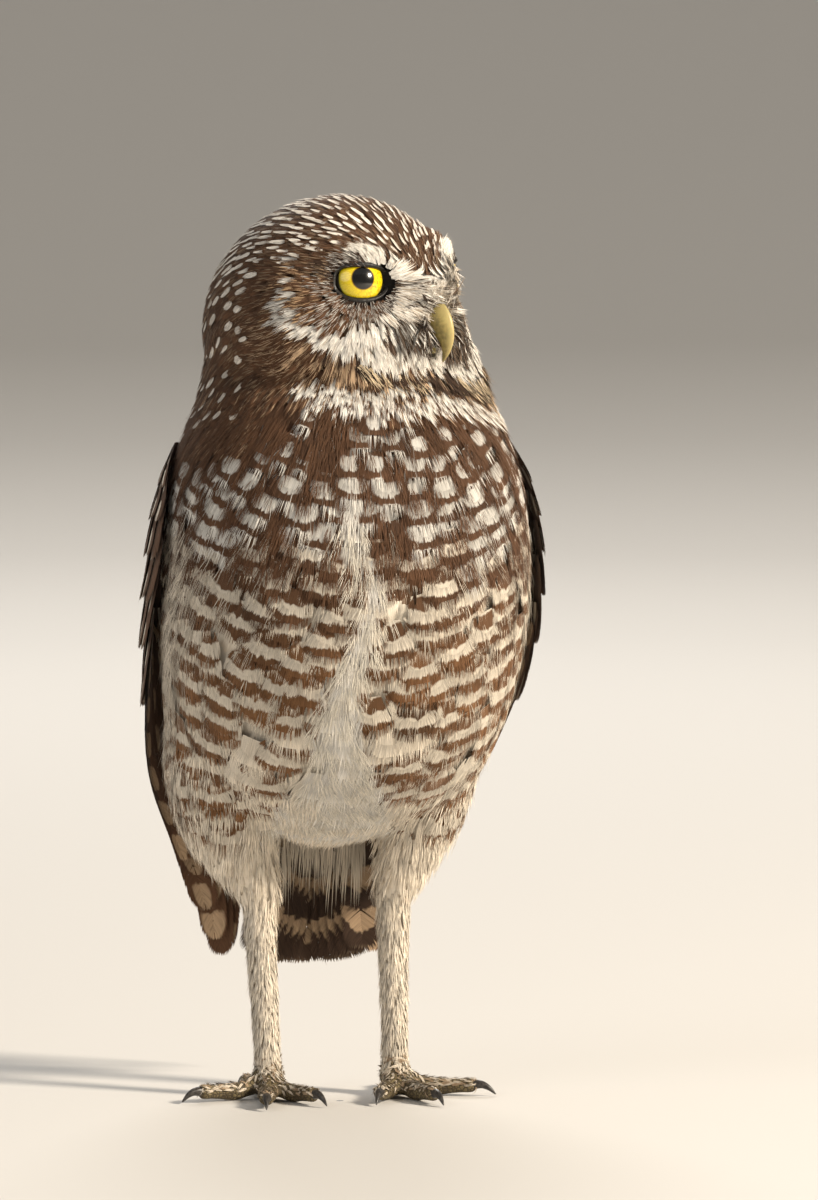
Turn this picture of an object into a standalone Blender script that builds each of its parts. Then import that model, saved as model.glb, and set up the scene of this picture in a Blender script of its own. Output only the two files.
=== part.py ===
"""A burrowing owl at life size, standing upright on both feet and looking to its left.

Metres, +Z up. The bird faces -Y, its left side is +X, and it stands on z = 0.
Each named part of the bird is one closed object.
"""

import math

import bmesh
import bpy
import numpy as np
from mathutils import Matrix, Vector

GAP = 0.0003  # clearance between parts that touch

# Heights above the ground.
HEAD_MIDDLE = 0.2085
CHIN_HEIGHT = 0.190
NECK_HEIGHT = 0.173
BELLY_HEIGHT = 0.067
HEEL_HEIGHT = 0.052
ANKLE_HEIGHT = 0.009

# The head, seen in its own frame: it faces -Y before it is turned.
HEAD_TURN = math.radians(40)
HEAD_OFFSET = Vector((-0.0005, 0.004, HEAD_MIDDLE))
HEAD_HALF_WIDTH = 0.0366
HEAD_FRONT = 0.0328
HEAD_BACK = 0.0380
HEAD_TOP = 0.0370
HEAD_BOTTOM = 0.0300

# The eyes.
EYE_RADIUS = 0.0080
EYE_AZIMUTH = math.radians(42)
EYE_AXIS_AZIMUTH = math.radians(37)
EYE_REACH = 0.0238
EYE_RISE = 0.0142
LID_THICKNESS = 0.0010

# The legs.
LEG_SPREAD = 0.0176
HEEL_BACK = 0.026
FOOT_BACK = 0.019
TOE_RADIUS = 0.0025

SIDES = {"right": -1, "left": 1}
# The right thigh is the fuller one, and the right wing hangs a little lower and wider.
THIGH_FULLNESS = {-1: 1.10, 1: 0.95}
WING_DROOP = {-1: 0.0022, 1: -0.0012}


# ------------------------------------------------------------------ tools

class Profile:
    """Smooth values through rows of (position, value, value, ...)."""

    def __init__(self, *rows):
        table = np.array(sorted(rows), float)
        self.at = table[:, 0]
        self.values = table[:, 1:]
        self.slopes = np.gradient(self.values, self.at, axis=0)

    def __call__(self, position):
        x = min(max(position, self.at[0]), self.at[-1])
        i = min(int(np.searchsorted(self.at, x, "right")) - 1, len(self.at) - 2)
        span = self.at[i + 1] - self.at[i]
        t = (x - self.at[i]) / span
        start = (1 + 2 * t) * (1 - t) ** 2 * self.values[i]
        end = t * t * (3 - 2 * t) * self.values[i + 1]
        lean = span * t * (1 - t) * ((1 - t) * self.slopes[i] - t * self.slopes[i + 1])
        found = start + end + lean
        return found if len(found) > 1 else float(found[0])


def material(name, colour, roughness):
    made = bpy.data.materials.new(name)
    made.use_nodes = True
    shader = made.node_tree.nodes["Principled BSDF"]
    shader.inputs["Base Color"].default_value = (*colour, 1)
    shader.inputs["Roughness"].default_value = roughness
    shader.inputs["Metallic"].default_value = 0.0
    made.diffuse_color = (*colour, 1)
    return made


def new_object(name, mesh_builder, collection=None):
    """An object from a bmesh, which is closed, outward facing and freed."""
    bmesh.ops.recalc_face_normals(mesh_builder, faces=mesh_builder.faces)
    mesh = bpy.data.meshes.new(name)
    mesh_builder.to_mesh(mesh)
    mesh_builder.free()
    made = bpy.data.objects.new(name, mesh)
    (collection or PARTS).objects.link(made)
    return made


def loft(rings, start=None, end=None):
    """A skin through rings of points, closed by a point or a flat cap at each end."""
    made = bmesh.new()
    rows = [[made.verts.new(p) for p in ring] for ring in rings]
    count = len(rows[0])
    for low, high in zip(rows, rows[1:]):
        for i in range(count):
            j = (i + 1) % count
            made.faces.new((low[i], low[j], high[j], high[i]))
    for row, pole in ((rows[0], start), (rows[-1], end)):
        if pole is None:
            made.faces.new(row)
            continue
        tip = made.verts.new(pole)
        for i in range(count):
            made.faces.new((row[i], row[(i + 1) % count], tip))
    return made


def tube(path, radii, sides, flat=1.0, up=Vector((0, 0, 1)), start_pole=True, end_pole=True):
    """Rings round a path of points. radii are half widths, and flat is height over width."""
    rings = []
    for i, (point, radius) in enumerate(zip(path, radii)):
        ahead = path[min(i + 1, len(path) - 1)] - path[max(i - 1, 0)]
        ahead.normalize()
        across = ahead.cross(up).normalized()
        over = across.cross(ahead).normalized()
        rings.append([
            point + across * (radius * math.cos(a)) + over * (radius * flat * math.sin(a))
            for a in (2 * math.pi * k / sides for k in range(sides))
        ])
    first = path[0] - (path[1] - path[0]).normalized() * radii[0] * 0.5 if start_pole else None
    last = path[-1] + (path[-1] - path[-2]).normalized() * radii[-1] * 0.5 if end_pole else None
    return loft(rings, first, last)


def apply_modifiers(thing):
    """Turns the object's evaluated mesh into its own mesh."""
    graph = bpy.context.evaluated_depsgraph_get()
    made = bpy.data.meshes.new_from_object(thing.evaluated_get(graph))
    thing.modifiers.clear()
    thing.data = made


def boolean(thing, operation, others):
    """Joins or cuts thing with a collection of closed meshes, which is then removed."""
    holder = bpy.data.collections.new("operands")
    bpy.context.scene.collection.children.link(holder)
    for other in others:
        for home in list(other.users_collection):
            home.objects.unlink(other)
        holder.objects.link(other)
    modifier = thing.modifiers.new(operation.title(), "BOOLEAN")
    modifier.operation = operation
    modifier.operand_type = "COLLECTION"
    modifier.collection = holder
    modifier.solver = "EXACT"
    apply_modifiers(thing)
    for other in others:
        bpy.data.objects.remove(other)
    bpy.data.collections.remove(holder)
    keep_largest(thing)


def keep_largest(thing):
    """Keeps the closed surface that holds the most."""
    shape = bmesh.new()
    shape.from_mesh(thing.data)
    left = set(shape.faces)
    shells = []
    while left:
        wave = [left.pop()]
        shell = list(wave)
        while wave:
            found = {
                f for w in wave for e in w.edges for f in e.link_faces if f in left
            }
            left -= found
            wave = list(found)
            shell += wave
        shells.append(shell)

    def held(shell):
        total = 0.0
        for face in shell:
            points = [v.co for v in face.verts]
            for a, b in zip(points[1:], points[2:]):
                total += points[0].dot(a.cross(b))
        return total

    shells.sort(key=held)
    spare = [f for shell in shells[:-1] for f in shell]
    bmesh.ops.delete(shape, geom=spare, context="FACES")
    shape.to_mesh(thing.data)
    shape.free()


def cut_plane(thing, point, outward):
    """Removes what lies beyond a plane and closes the cut."""
    shape = bmesh.new()
    shape.from_mesh(thing.data)
    everything = [*shape.verts, *shape.edges, *shape.faces]
    cut = bmesh.ops.bisect_plane(
        shape, geom=everything, plane_co=point, plane_no=outward, clear_outer=True
    )
    edges = [e for e in cut["geom_cut"] if isinstance(e, bmesh.types.BMEdge)]
    bmesh.ops.contextual_create(shape, geom=edges)
    bmesh.ops.recalc_face_normals(shape, faces=shape.faces)
    shape.to_mesh(thing.data)
    shape.free()


def finish(thing, coat):
    """Gives a part its material and smooth shading."""
    thing.data.materials.clear()
    thing.data.materials.append(coat)
    thing.data.shade_smooth()
    thing.data.set_sharp_from_angle(angle=math.radians(40))


# ------------------------------------------------------------------ start

for old in list(bpy.data.objects):
    bpy.data.objects.remove(old)

PARTS = bpy.data.collections.new("burrowing_owl")
bpy.context.scene.collection.children.link(PARTS)

BROWN_PLUMAGE = material("brown plumage", (0.17, 0.105, 0.06), 0.85)
BARRED_PLUMAGE = material("barred plumage", (0.42, 0.32, 0.22), 0.85)
PALE_PLUMAGE = material("pale plumage", (0.72, 0.60, 0.42), 0.85)
HORN = material("bill horn", (0.42, 0.38, 0.16), 0.4)
CLAW = material("claw horn", (0.05, 0.045, 0.04), 0.35)
TOE_SKIN = material("toe skin", (0.27, 0.23, 0.13), 0.7)
EYE_YELLOW = material("iris yellow", (0.85, 0.62, 0.02), 0.1)
LID_SKIN = material("lid skin", (0.03, 0.028, 0.026), 0.5)


# ------------------------------------------------------------------ body

# Rings of the body's plumage without the wings: height, half width, how far back
# the middle lies, and how far the breast and the back stand from that middle.
BODY = Profile(
    (0.211, 0.0300, 0.0045, 0.0180, 0.0290),
    (0.204, 0.0364, 0.0040, 0.0240, 0.0340),
    (0.197, 0.0382, 0.0030, 0.0295, 0.0352),
    (0.189, 0.0405, 0.0018, 0.0340, 0.0352),
    (0.180, 0.0444, 0.0006, 0.0377, 0.0356),
    (0.170, 0.0475, 0.0000, 0.0404, 0.0362),
    (0.158, 0.0492, 0.0000, 0.0422, 0.0380),
    (0.145, 0.0496, 0.0000, 0.0438, 0.0400),
    (0.131, 0.0498, 0.0040, 0.0465, 0.0395),
    (0.117, 0.0486, 0.0095, 0.0480, 0.0365),
    (0.104, 0.0462, 0.0155, 0.0480, 0.0320),
    (0.094, 0.0430, 0.0200, 0.0460, 0.0280),
    (0.086, 0.0385, 0.0230, 0.0405, 0.0240),
    (0.079, 0.0312, 0.0255, 0.0320, 0.0195),
    (0.073, 0.0205, 0.0275, 0.0215, 0.0140),
    (0.069, 0.0090, 0.0285, 0.0100, 0.0065),
)
BODY_SQUARENESS = 2.15
BODY_SIDES = 30
BODY_RINGS = 23
NECK_TILT = math.radians(9)


def ring_point(turn, height, width, middle, front, back):
    """A point of a rounded ring. turn runs from the breast by the left side to the back."""
    across, along = math.sin(turn), math.cos(turn)
    depth = front if along > 0 else back
    power = 2 / BODY_SQUARENESS
    x = math.copysign(abs(across) ** power, across) * width
    y = middle - math.copysign(abs(along) ** power, along) * depth
    return Vector((x, y, height))


def body_point(turn, height, proud=0.0):
    width, middle, front, back = BODY(height)
    return ring_point(turn, height, width + proud, middle, front + proud, back + proud)


def body_shape(name, proud=0.0):
    lowest, highest = BODY.at[0], BODY.at[-1]
    rings = []
    for k in range(BODY_RINGS + 1):
        share = k / BODY_RINGS
        height = lowest + (highest - lowest) * share ** 1.15
        rings.append([
            body_point(2 * math.pi * i / BODY_SIDES, height, proud) for i in range(BODY_SIDES)
        ])
    middle = BODY(lowest)[1]
    foot = Vector((0, middle, BELLY_HEIGHT - proud))
    crown = Vector((0, BODY(highest)[1], highest + proud))
    return new_object(name, loft(rings, foot, crown))


# ------------------------------------------------------------------ head

def angle_bump(azimuth, elevation, at_azimuth, at_elevation, spread):
    """A smooth hill of height 1 on the head, placed and sized in degrees."""
    away = ((azimuth - at_azimuth) ** 2 + (elevation - at_elevation) ** 2) / spread ** 2
    return math.exp(-away)


def brow_height(azimuth):
    """The elevation of the brow ridge, which drops towards the bill."""
    return 20 + 0.42 * min(azimuth, 50)


def head_relief(azimuth, elevation):
    """How far the plumage stands out from, or lies in, the plain round of the head."""
    side = abs(azimuth)
    ridge = math.exp(-((elevation - brow_height(side)) / 8.5) ** 2)
    ridge *= 1 / (1 + math.exp((side - 60) / 6))
    hollow = angle_bump(side, elevation, 41, 21, 17)
    cheek = angle_bump(side, elevation, 34, -15, 20)
    root = angle_bump(side, elevation, 0, 6, 12)
    rim = math.exp(-((math.hypot(side - 34, (elevation - 3) * 1.1) - 48) / 8) ** 2)
    rim *= 1 / (1 + math.exp((elevation - 30) / 8))
    crown = angle_bump(side, elevation, 0, 50, 26)
    return (
        0.0034 * ridge - 0.0030 * hollow + 0.0018 * cheek - 0.0010 * root
        + 0.0010 * rim - 0.0006 * crown
    )


def head_point(azimuth, elevation, proud=0.0):
    """A point on the head in the head's own frame, from degrees."""
    a, e = math.radians(azimuth), math.radians(elevation)
    direction = Vector((math.sin(a) * math.cos(e), -math.cos(a) * math.cos(e), math.sin(e)))
    depth = HEAD_FRONT if direction.y < 0 else HEAD_BACK
    rise = HEAD_TOP if direction.z > 0 else HEAD_BOTTOM
    reach = 1 / math.sqrt(
        (direction.x / HEAD_HALF_WIDTH) ** 2
        + (direction.y / depth) ** 2
        + (direction.z / rise) ** 2
    )
    return direction * (reach + head_relief(azimuth, elevation) + proud)


def to_world(point):
    """From the head's own frame to the bird's."""
    return Matrix.Rotation(HEAD_TURN, 3, "Z") @ Vector(point) + HEAD_OFFSET


HEAD_SEGMENTS, HEAD_RINGS = 36, 24
FACE_CROWDING = 0.42  # how much closer the columns stand on the face than behind


def head_shape(name, proud=0.0):
    shape = bmesh.new()
    bmesh.ops.create_uvsphere(shape, u_segments=HEAD_SEGMENTS, v_segments=HEAD_RINGS, radius=1)
    for v in shape.verts:
        azimuth = math.atan2(v.co.x, -v.co.y)
        azimuth -= FACE_CROWDING * math.sin(azimuth)
        elevation = math.asin(max(-1, min(1, v.co.z)))
        v.co = to_world(head_point(math.degrees(azimuth), math.degrees(elevation), proud))
    return new_object(name, shape)


# ------------------------------------------------------------------ eyes

def eye_middle(side):
    return Vector((
        side * EYE_REACH * math.sin(EYE_AZIMUTH), -EYE_REACH * math.cos(EYE_AZIMUTH), EYE_RISE
    ))


def eye_frame(side):
    """A matrix that carries +Z to the way the eye looks, +Y up the face."""
    look = Vector((side * math.sin(EYE_AXIS_AZIMUTH), -math.cos(EYE_AXIS_AZIMUTH), 0.02))
    look.normalize()
    up = Vector((0, 0, 1))
    across = up.cross(look).normalized()
    up = look.cross(across)
    turned = Matrix((across, up, look)).transposed()
    return turned


def eye_ball(name, side, radius, segments=18, rings=12):
    """A ball whose pole looks out, so that its rings run round the pupil."""
    shape = bmesh.new()
    bmesh.ops.create_uvsphere(shape, u_segments=segments, v_segments=rings, radius=radius)
    frame, middle = eye_frame(side), eye_middle(side)
    for v in shape.verts:
        v.co = to_world(frame @ v.co + middle)
    return new_object(name, shape)


# The opening between the lids, on the eye: half width, drop below and rise above.
LID_OPENING = (0.0068, 0.0048, 0.0037)
LID_REACH = math.radians(68)  # how far the lids run back over the eye, from its pole


def lid_ring(name, side):
    """The two lids as one ring of even thickness that lies on the eye."""
    frame, middle = eye_frame(side), eye_middle(side)
    inner = EYE_RADIUS + GAP
    outer = inner + LID_THICKNESS
    columns = 20
    half_width, drop, rise = LID_OPENING
    loops = []
    for i in range(columns):
        a = 2 * math.pi * i / columns
        height = rise if math.sin(a) > 0 else drop
        edge = math.asin(math.hypot(half_width * math.cos(a), height * math.sin(a)) / inner)
        back = LID_REACH
        lip = 0.35 * (back - edge)
        loop = []
        for radius, tilt in (
            (inner, edge), (outer, edge + 0.03), (outer, edge + lip), (outer, back), (inner, back),
            (inner, edge + lip),
        ):
            flat = Vector((math.cos(a) * math.sin(tilt), math.sin(a) * math.sin(tilt), math.cos(tilt)))
            loop.append(to_world(frame @ (flat * radius) + middle))
        loops.append(loop)
    shape = bmesh.new()
    rows = [[shape.verts.new(p) for p in loop] for loop in loops]
    count = len(rows[0])
    for i in range(columns):
        here, there = rows[i], rows[(i + 1) % columns]
        for k in range(count):
            n = (k + 1) % count
            shape.faces.new((here[k], here[n], there[n], there[k]))
    return new_object(name, shape)


# ------------------------------------------------------------------ bill

# The upper bill in the head's frame: share along it, how far forward, how high,
# half width and half height of each ring, square to the line through the rings.
UPPER_BILL = Profile(
    (0.00, 0.0265, 0.0060, 0.0044, 0.0060),
    (0.30, 0.0312, 0.0048, 0.0043, 0.0056),
    (0.55, 0.0342, 0.0022, 0.0036, 0.0045),
    (0.75, 0.0357, -0.0008, 0.0026, 0.0032),
    (0.90, 0.0361, -0.0041, 0.0014, 0.0019),
    (1.00, 0.0355, -0.0073, 0.0005, 0.0006),
)
LOWER_BILL = Profile(
    (0.00, 0.0265, -0.0035, 0.0034, 0.0022),
    (0.50, 0.0300, -0.0045, 0.0029, 0.0020),
    (0.85, 0.0328, -0.0058, 0.0018, 0.0014),
    (1.00, 0.0338, -0.0066, 0.0007, 0.0006),
)
NOSTRIL_RADIUS = 0.0008


def bill_shape(name, profile, proud=0.0, rings=9, sides=12):
    path = [
        Vector((0, -profile(k / rings)[0], profile(k / rings)[1])) for k in range(rings + 1)
    ]
    loops = []
    for k, point in enumerate(path):
        ahead = (path[min(k + 1, rings)] - path[max(k - 1, 0)]).normalized()
        over = ahead.cross(Vector((1, 0, 0))).normalized()
        if over.z < 0 and over.y > 0:
            over.negate()
        _, _, half_width, half_height = profile(k / rings)
        loops.append([
            to_world(
                point
                + Vector((1, 0, 0)) * ((half_width + proud) * math.cos(a))
                + over * ((half_height + proud) * math.sin(a))
            )
            for a in (2 * math.pi * i / sides for i in range(sides))
        ])
    tip = path[-1] + (path[-1] - path[-2]).normalized() * (0.0006 + proud)
    return new_object(name, loft(loops, None, to_world(tip)))


def nostril_cutter(side):
    shape = bmesh.new()
    bmesh.ops.create_uvsphere(shape, u_segments=8, v_segments=6, radius=NOSTRIL_RADIUS)
    for v in shape.verts:
        v.co = to_world(v.co + Vector((side * 0.0040, -0.0322, 0.0062)))
    return new_object("nostril", shape)


# ------------------------------------------------------------------ head and neck

def between(name, low, high):
    """The part of the whole body between two tilted planes, each a cut of one gap."""
    part = bpy.data.objects.new(name, whole.data.copy())
    PARTS.objects.link(part)
    normal = Vector((0, -math.sin(NECK_TILT), math.cos(NECK_TILT)))
    if low is not None:
        cut_plane(part, Vector((0, 0, low)) + normal * GAP / 2, -normal)
    if high is not None:
        cut_plane(part, Vector((0, 0, high)) - normal * GAP / 2, normal)
    return part


whole = body_shape("whole")
boolean(whole, "UNION", [head_shape("head_form")])
torso = between("torso", None, NECK_HEIGHT)
neck = between("neck", NECK_HEIGHT, CHIN_HEIGHT)
head = between("head", CHIN_HEIGHT, None)
bpy.data.objects.remove(whole)

socket = EYE_RADIUS + LID_THICKNESS + 2 * GAP
head_cutters = [eye_ball("socket_" + n, s, socket, 24, 16) for n, s in SIDES.items()]
head_cutters.append(bill_shape("bill_room", UPPER_BILL, GAP))
head_cutters.append(bill_shape("lower_bill_room", LOWER_BILL, GAP))
boolean(head, "DIFFERENCE", head_cutters)

bill_upper = bill_shape("bill_upper", UPPER_BILL)
bill_lower = bill_shape("bill_lower", LOWER_BILL)
boolean(bill_upper, "DIFFERENCE", [nostril_cutter(s) for s in SIDES.values()])
boolean(bill_lower, "DIFFERENCE", [bill_shape("bill_room", UPPER_BILL, GAP)])

for word, sign in SIDES.items():
    finish(eye_ball("eye_" + word, sign, EYE_RADIUS), EYE_YELLOW)
    finish(lid_ring("lids_" + word, sign), LID_SKIN)
finish(head, BROWN_PLUMAGE)
finish(neck, BARRED_PLUMAGE)
finish(bill_upper, HORN)
finish(bill_lower, HORN)


# ------------------------------------------------------------------ wings

# The surface that a folded wing lies on: height, half width, how far back the
# middle lies, and how far the surface stands behind that middle.
WING_BED = Profile(
    (0.180, 0.0448, 0.0000, 0.0360),
    (0.170, 0.0480, 0.0000, 0.0370),
    (0.158, 0.0498, 0.0000, 0.0388),
    (0.145, 0.0504, 0.0010, 0.0404),
    (0.131, 0.0508, 0.0050, 0.0400),
    (0.117, 0.0500, 0.0110, 0.0372),
    (0.104, 0.0484, 0.0175, 0.0334),
    (0.094, 0.0466, 0.0225, 0.0300),
    (0.084, 0.0444, 0.0265, 0.0266),
    (0.072, 0.0414, 0.0310, 0.0226),
    (0.058, 0.0380, 0.0370, 0.0179),
    (0.046, 0.0358, 0.0424, 0.0144),
    (0.034, 0.0344, 0.0470, 0.0122),
)
# The front and back edges of the folded wing, as turns in degrees from the breast.
WING_EDGES = Profile(
    (0.178, 94, 128),
    (0.166, 82, 143),
    (0.150, 80, 154),
    (0.128, 85, 163),
    (0.110, 92, 168),
    (0.095, 99, 170),
    (0.084, 107, 168),
    (0.072, 118, 164),
    (0.058, 128, 159),
    (0.046, 135, 155),
    (0.034, 138, 153),
)
VANE_THICKNESS = 0.0005
VANE_STEP = 0.00095  # from one vane to the next that lies over it

# How many feathers stand side by side across the wing, and how many of them a
# vane covers to each side of its own line, by height.
FLIGHT_CROWD = Profile(
    (0.140, 13.4, 1.10), (0.110, 13.4, 1.10), (0.092, 13.2, 1.10), (0.085, 12.1, 1.15),
    (0.078, 9.9, 1.25), (0.068, 7.6, 1.45), (0.056, 6.4, 1.70), (0.034, 5.8, 1.95),
)
# The heights of the tips from the outermost primary to the innermost secondary.
PRIMARY_TIPS = (0.0620, 0.0475, 0.0390, 0.0345, 0.0360, 0.0430, 0.0530)
SECONDARY_TIPS = (0.0755, 0.0785, 0.0810, 0.0832, 0.0855, 0.0885)
FLIGHT_ROOT = 0.131
# The rows of coverts: how many, their root and tip heights at the front and at the
# back edge, and how far root and tip stand off the wing's surface.
COVERTS = (
    (8, 0.1370, 0.1330, 0.1060, 0.1040, 0.0010, 0.0031),
    (7, 0.1530, 0.1500, 0.1260, 0.1230, 0.0011, 0.0036),
    (6, 0.1690, 0.1670, 0.1450, 0.1430, 0.0008, 0.0032),
)
COVERT_REACH = 0.72
CORE_LOWEST = 0.121
CORE_THICKNESS = Profile(
    (0.178, 0.0010), (0.168, 0.0020), (0.140, 0.0026), (0.121, 0.0020)
)


def wing_point(across, height, lift):
    """A point over the wing's bed. across runs from its front edge to its back edge."""
    width, middle, back = WING_BED(height)
    front_edge, back_edge = WING_EDGES(height)
    turn = math.radians(front_edge + (back_edge - front_edge) * across)
    return ring_point(turn, height, width + lift, middle, back + lift, back + lift)


def wing_core(name, side):
    """The arm and the small feathers that the rows of vanes grow out of."""
    rings = []
    for height in np.linspace(CORE_LOWEST, WING_EDGES.at[-1], 6):
        shares = np.linspace(0, 1, 7)
        inner = [wing_point(a, height, 0.0) for a in shares]
        outer = [wing_point(a, height, CORE_THICKNESS(height)) for a in shares[::-1]]
        rings.append([droop(p, side) for p in inner + outer])
    return new_object(name, loft(rings))


def vane(name, rows, thickness=VANE_THICKNESS):
    """A flat feather with a rounded end. Each row is its front and back edge, and out."""
    shape = bmesh.new()
    rings = []
    for k, (front, back, out) in enumerate(rows):
        half = out * (thickness / 2 if k < len(rows) - 1 else thickness * 0.3)
        corners = (front + half, back + half, back - half, front - half)
        rings.append([shape.verts.new(c) for c in corners])
    for low, high in zip(rings, rings[1:]):
        for i in range(4):
            j = (i + 1) % 4
            if i == 2:  # the underside is split along the same line as the top
                shape.faces.new((low[i], low[j], high[i]))
                shape.faces.new((low[j], high[j], high[i]))
            else:
                shape.faces.new((low[i], low[j], high[j]))
                shape.faces.new((low[i], high[j], high[i]))
    shape.faces.new(rings[0])
    shape.faces.new(rings[-1])
    return new_object(name, shape)


# The rows along a vane: share of its length and share of its full width.
LONG_VANE = ((0.0, 0.6), (0.35, 0.95), (0.68, 1.0), (0.92, 0.78), (1.0, 0.36))
LONG_WIDTH = Profile(*LONG_VANE)
# All flight feathers bend at the same heights, so that none cuts its neighbour.
FLIGHT_ROWS = (0.131, 0.118, 0.105, 0.092, 0.079, 0.066, 0.055, 0.045)
SHORT_VANE = ((0.0, 0.6), (0.45, 0.95), (0.84, 0.84), (1.0, 0.36))


def flight_vane(side, rank, tip_height):
    heights = [h for h in FLIGHT_ROWS if h > tip_height + 0.0075]
    heights += [tip_height + 0.0035, tip_height]
    rows = []
    for height in heights:
        width = LONG_WIDTH((height - FLIGHT_ROOT) / (tip_height - FLIGHT_ROOT))
        crowd, reach = FLIGHT_CROWD(height)
        edges = []
        for way in (-1, 1):
            across = (rank + 0.5 + way * reach * width) / crowd
            across = min(max(across, -0.02), 1.02)
            over = rank + reach - (across * crowd - 0.5)
            edges.append(wing_point(across, height, 0.0004 + VANE_STEP * max(over, 0)))
        rows.append((*edges, wing_out(rank / crowd, height)))
    return vane("flight", side_rows(rows, side))


def wing_out(across, height):
    """The way out from the wing's bed, which is level."""
    return (wing_point(across, height, 0.01) - wing_point(across, height, 0.0)).normalized()


def droop(point, side):
    """Moves a point of the left wing's form to the side asked for, and lets it hang."""
    low = min(max((0.118 - point.z) / 0.036, 0.0), 1.0)
    out = WING_DROOP[side] * low * low * (3 - 2 * low)
    return Vector((side * (point.x + out), point.y, point.z))


def side_rows(rows, side):
    return [
        (droop(front, side), droop(back, side), Vector((side * out.x, out.y, out.z)))
        for front, back, out in rows
    ]


def covert_vane(side, rank, row):
    count, root_front, root_back, tip_front, tip_back, root_lift, tip_lift = row
    share_back = rank / (count - 1)
    root = root_front + (root_back - root_front) * share_back
    tip = tip_front + (tip_back - tip_front) * share_back
    tip += 0.0012 * (rank % 2) - 0.0006
    rows = []
    for share, width in SHORT_VANE:
        height = root + (tip - root) * share
        edges = []
        for way in (-1, 1):
            across = (rank + 0.5 + way * COVERT_REACH * width) / count
            over = COVERT_REACH * (1 - way * width)
            lift = root_lift + (tip_lift - root_lift) * share + VANE_STEP * over
            edges.append(wing_point(min(max(across, -0.02), 1.02), height, lift))
        rows.append((*edges, wing_out(rank / count, height)))
    return vane("covert", side_rows(rows, side))


# ------------------------------------------------------------------ tail

# Where the tail starts in the body, where it ends, and the way out of its back.
TAIL_ROOT = Vector((0, 0.0350, 0.100))
TAIL_TIP = Vector((0, 0.0560, 0.0325))
TAIL_ALONG = TAIL_TIP - TAIL_ROOT
TAIL_OUT = Vector((0, -TAIL_ALONG.z, TAIL_ALONG.y)).normalized()
# The feathers of one side from the middle pair outwards: how far the line of each
# lies aside at the root and at the tip, and how much shorter it is.
TAIL_FEATHERS = (
    (0.0012, 0.0018, 0.0000),
    (0.0041, 0.0066, 0.0006),
    (0.0048, 0.0088, 0.0014),
    (0.0055, 0.0110, 0.0024),
    (0.0062, 0.0131, 0.0038),
    (0.0069, 0.0150, 0.0058),
)
TAIL_HALF_WIDTH = 0.0058
# The tail's coverts on its underside and on its back: how far aside the line of each
# lies, and the share of the tail's length that its tip reaches.
UNDER_COVERTS = ((-0.0088, 0.60), (-0.0030, 0.70), (0.0030, 0.68), (0.0088, 0.58))
UPPER_COVERTS = ((-0.0088, 0.54), (-0.0030, 0.62), (0.0030, 0.60), (0.0088, 0.52))
# The flesh and down that the feathers grow out of: share along the tail, half width
# and half depth, and how far in front of the tail's line its middle lies.
TAIL_CORE = Profile(
    (0.15, 0.0095, 0.0042, 0.0026),
    (0.30, 0.0105, 0.0042, 0.0026),
    (0.42, 0.0105, 0.0034, 0.0026),
    (0.52, 0.0090, 0.0022, 0.0026),
)


def tail_vane(side, rank):
    root_aside, tip_aside, shorter = TAIL_FEATHERS[rank]
    layer = rank + 1 if rank or side < 0 else 0
    reach = 1 - shorter / TAIL_ALONG.length
    rows = []
    for share, width in LONG_VANE:
        aside = root_aside + (tip_aside - root_aside) * share
        middle = TAIL_ROOT + TAIL_ALONG * (share * reach) - TAIL_OUT * VANE_STEP * layer
        half = TAIL_HALF_WIDTH * width
        inner = middle + Vector((side * (aside - half), 0, 0))
        outer = middle + Vector((side * (aside + half), 0, 0))
        rows.append((inner, outer, TAIL_OUT))
    return vane("rectrix", rows)


def tail_covert(aside, tip_share, depth_root, depth_tip, rank):
    rows = []
    for share, width in SHORT_VANE:
        at = 0.30 + (tip_share - 0.30) * share
        depth = depth_root + (depth_tip - depth_root) * share + VANE_STEP * (rank % 2) * share
        middle = TAIL_ROOT + TAIL_ALONG * at + TAIL_OUT * depth
        half = Vector((0.0038 * width, 0, 0))
        line = Vector((aside, 0, 0))
        rows.append((middle + line - half, middle + line + half, TAIL_OUT))
    return vane("tail_covert", rows)


def tail_core(name):
    rings = []
    for share in np.linspace(TAIL_CORE.at[0], TAIL_CORE.at[-1], 6):
        half_width, half_depth, forward = TAIL_CORE(share)
        middle = TAIL_ROOT + TAIL_ALONG * share - TAIL_OUT * forward
        rings.append([
            middle
            + Vector((half_width * math.cos(a), 0, 0))
            + TAIL_OUT * (half_depth * math.sin(a))
            for a in (2 * math.pi * i / 14 for i in range(14))
        ])
    return new_object(name, loft(rings))


tail = tail_core("tail")
rectrices = [tail_vane(s, k) for s in SIDES.values() for k in range(len(TAIL_FEATHERS))]
under = [tail_covert(*c, -0.0052, -0.0078, k) for k, c in enumerate(UNDER_COVERTS)]
upper = [tail_covert(*c, 0.0004, 0.0012, k) for k, c in enumerate(UPPER_COVERTS)]
boolean(tail, "UNION", rectrices + under + upper)
boolean(tail, "DIFFERENCE", [body_shape("body_room", GAP)])
finish(tail, BROWN_PLUMAGE)
finish(torso, BARRED_PLUMAGE)


# ------------------------------------------------------------------ legs

# The feathered thigh: share down it, x, y and z of its middle, and its half
# width and half depth.
THIGH = Profile(
    (0.00, 0.0265, 0.0150, 0.105, 0.0165, 0.0230),
    (0.22, 0.0265, 0.0190, 0.092, 0.0160, 0.0215),
    (0.45, 0.0262, 0.0230, 0.079, 0.0140, 0.0180),
    (0.70, 0.0240, 0.0258, 0.067, 0.0112, 0.0130),
    (0.90, 0.0205, 0.0264, 0.0575, 0.0078, 0.0085),
    (1.00, 0.0188, 0.0262, 0.0530, 0.0060, 0.0064),
)


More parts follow.
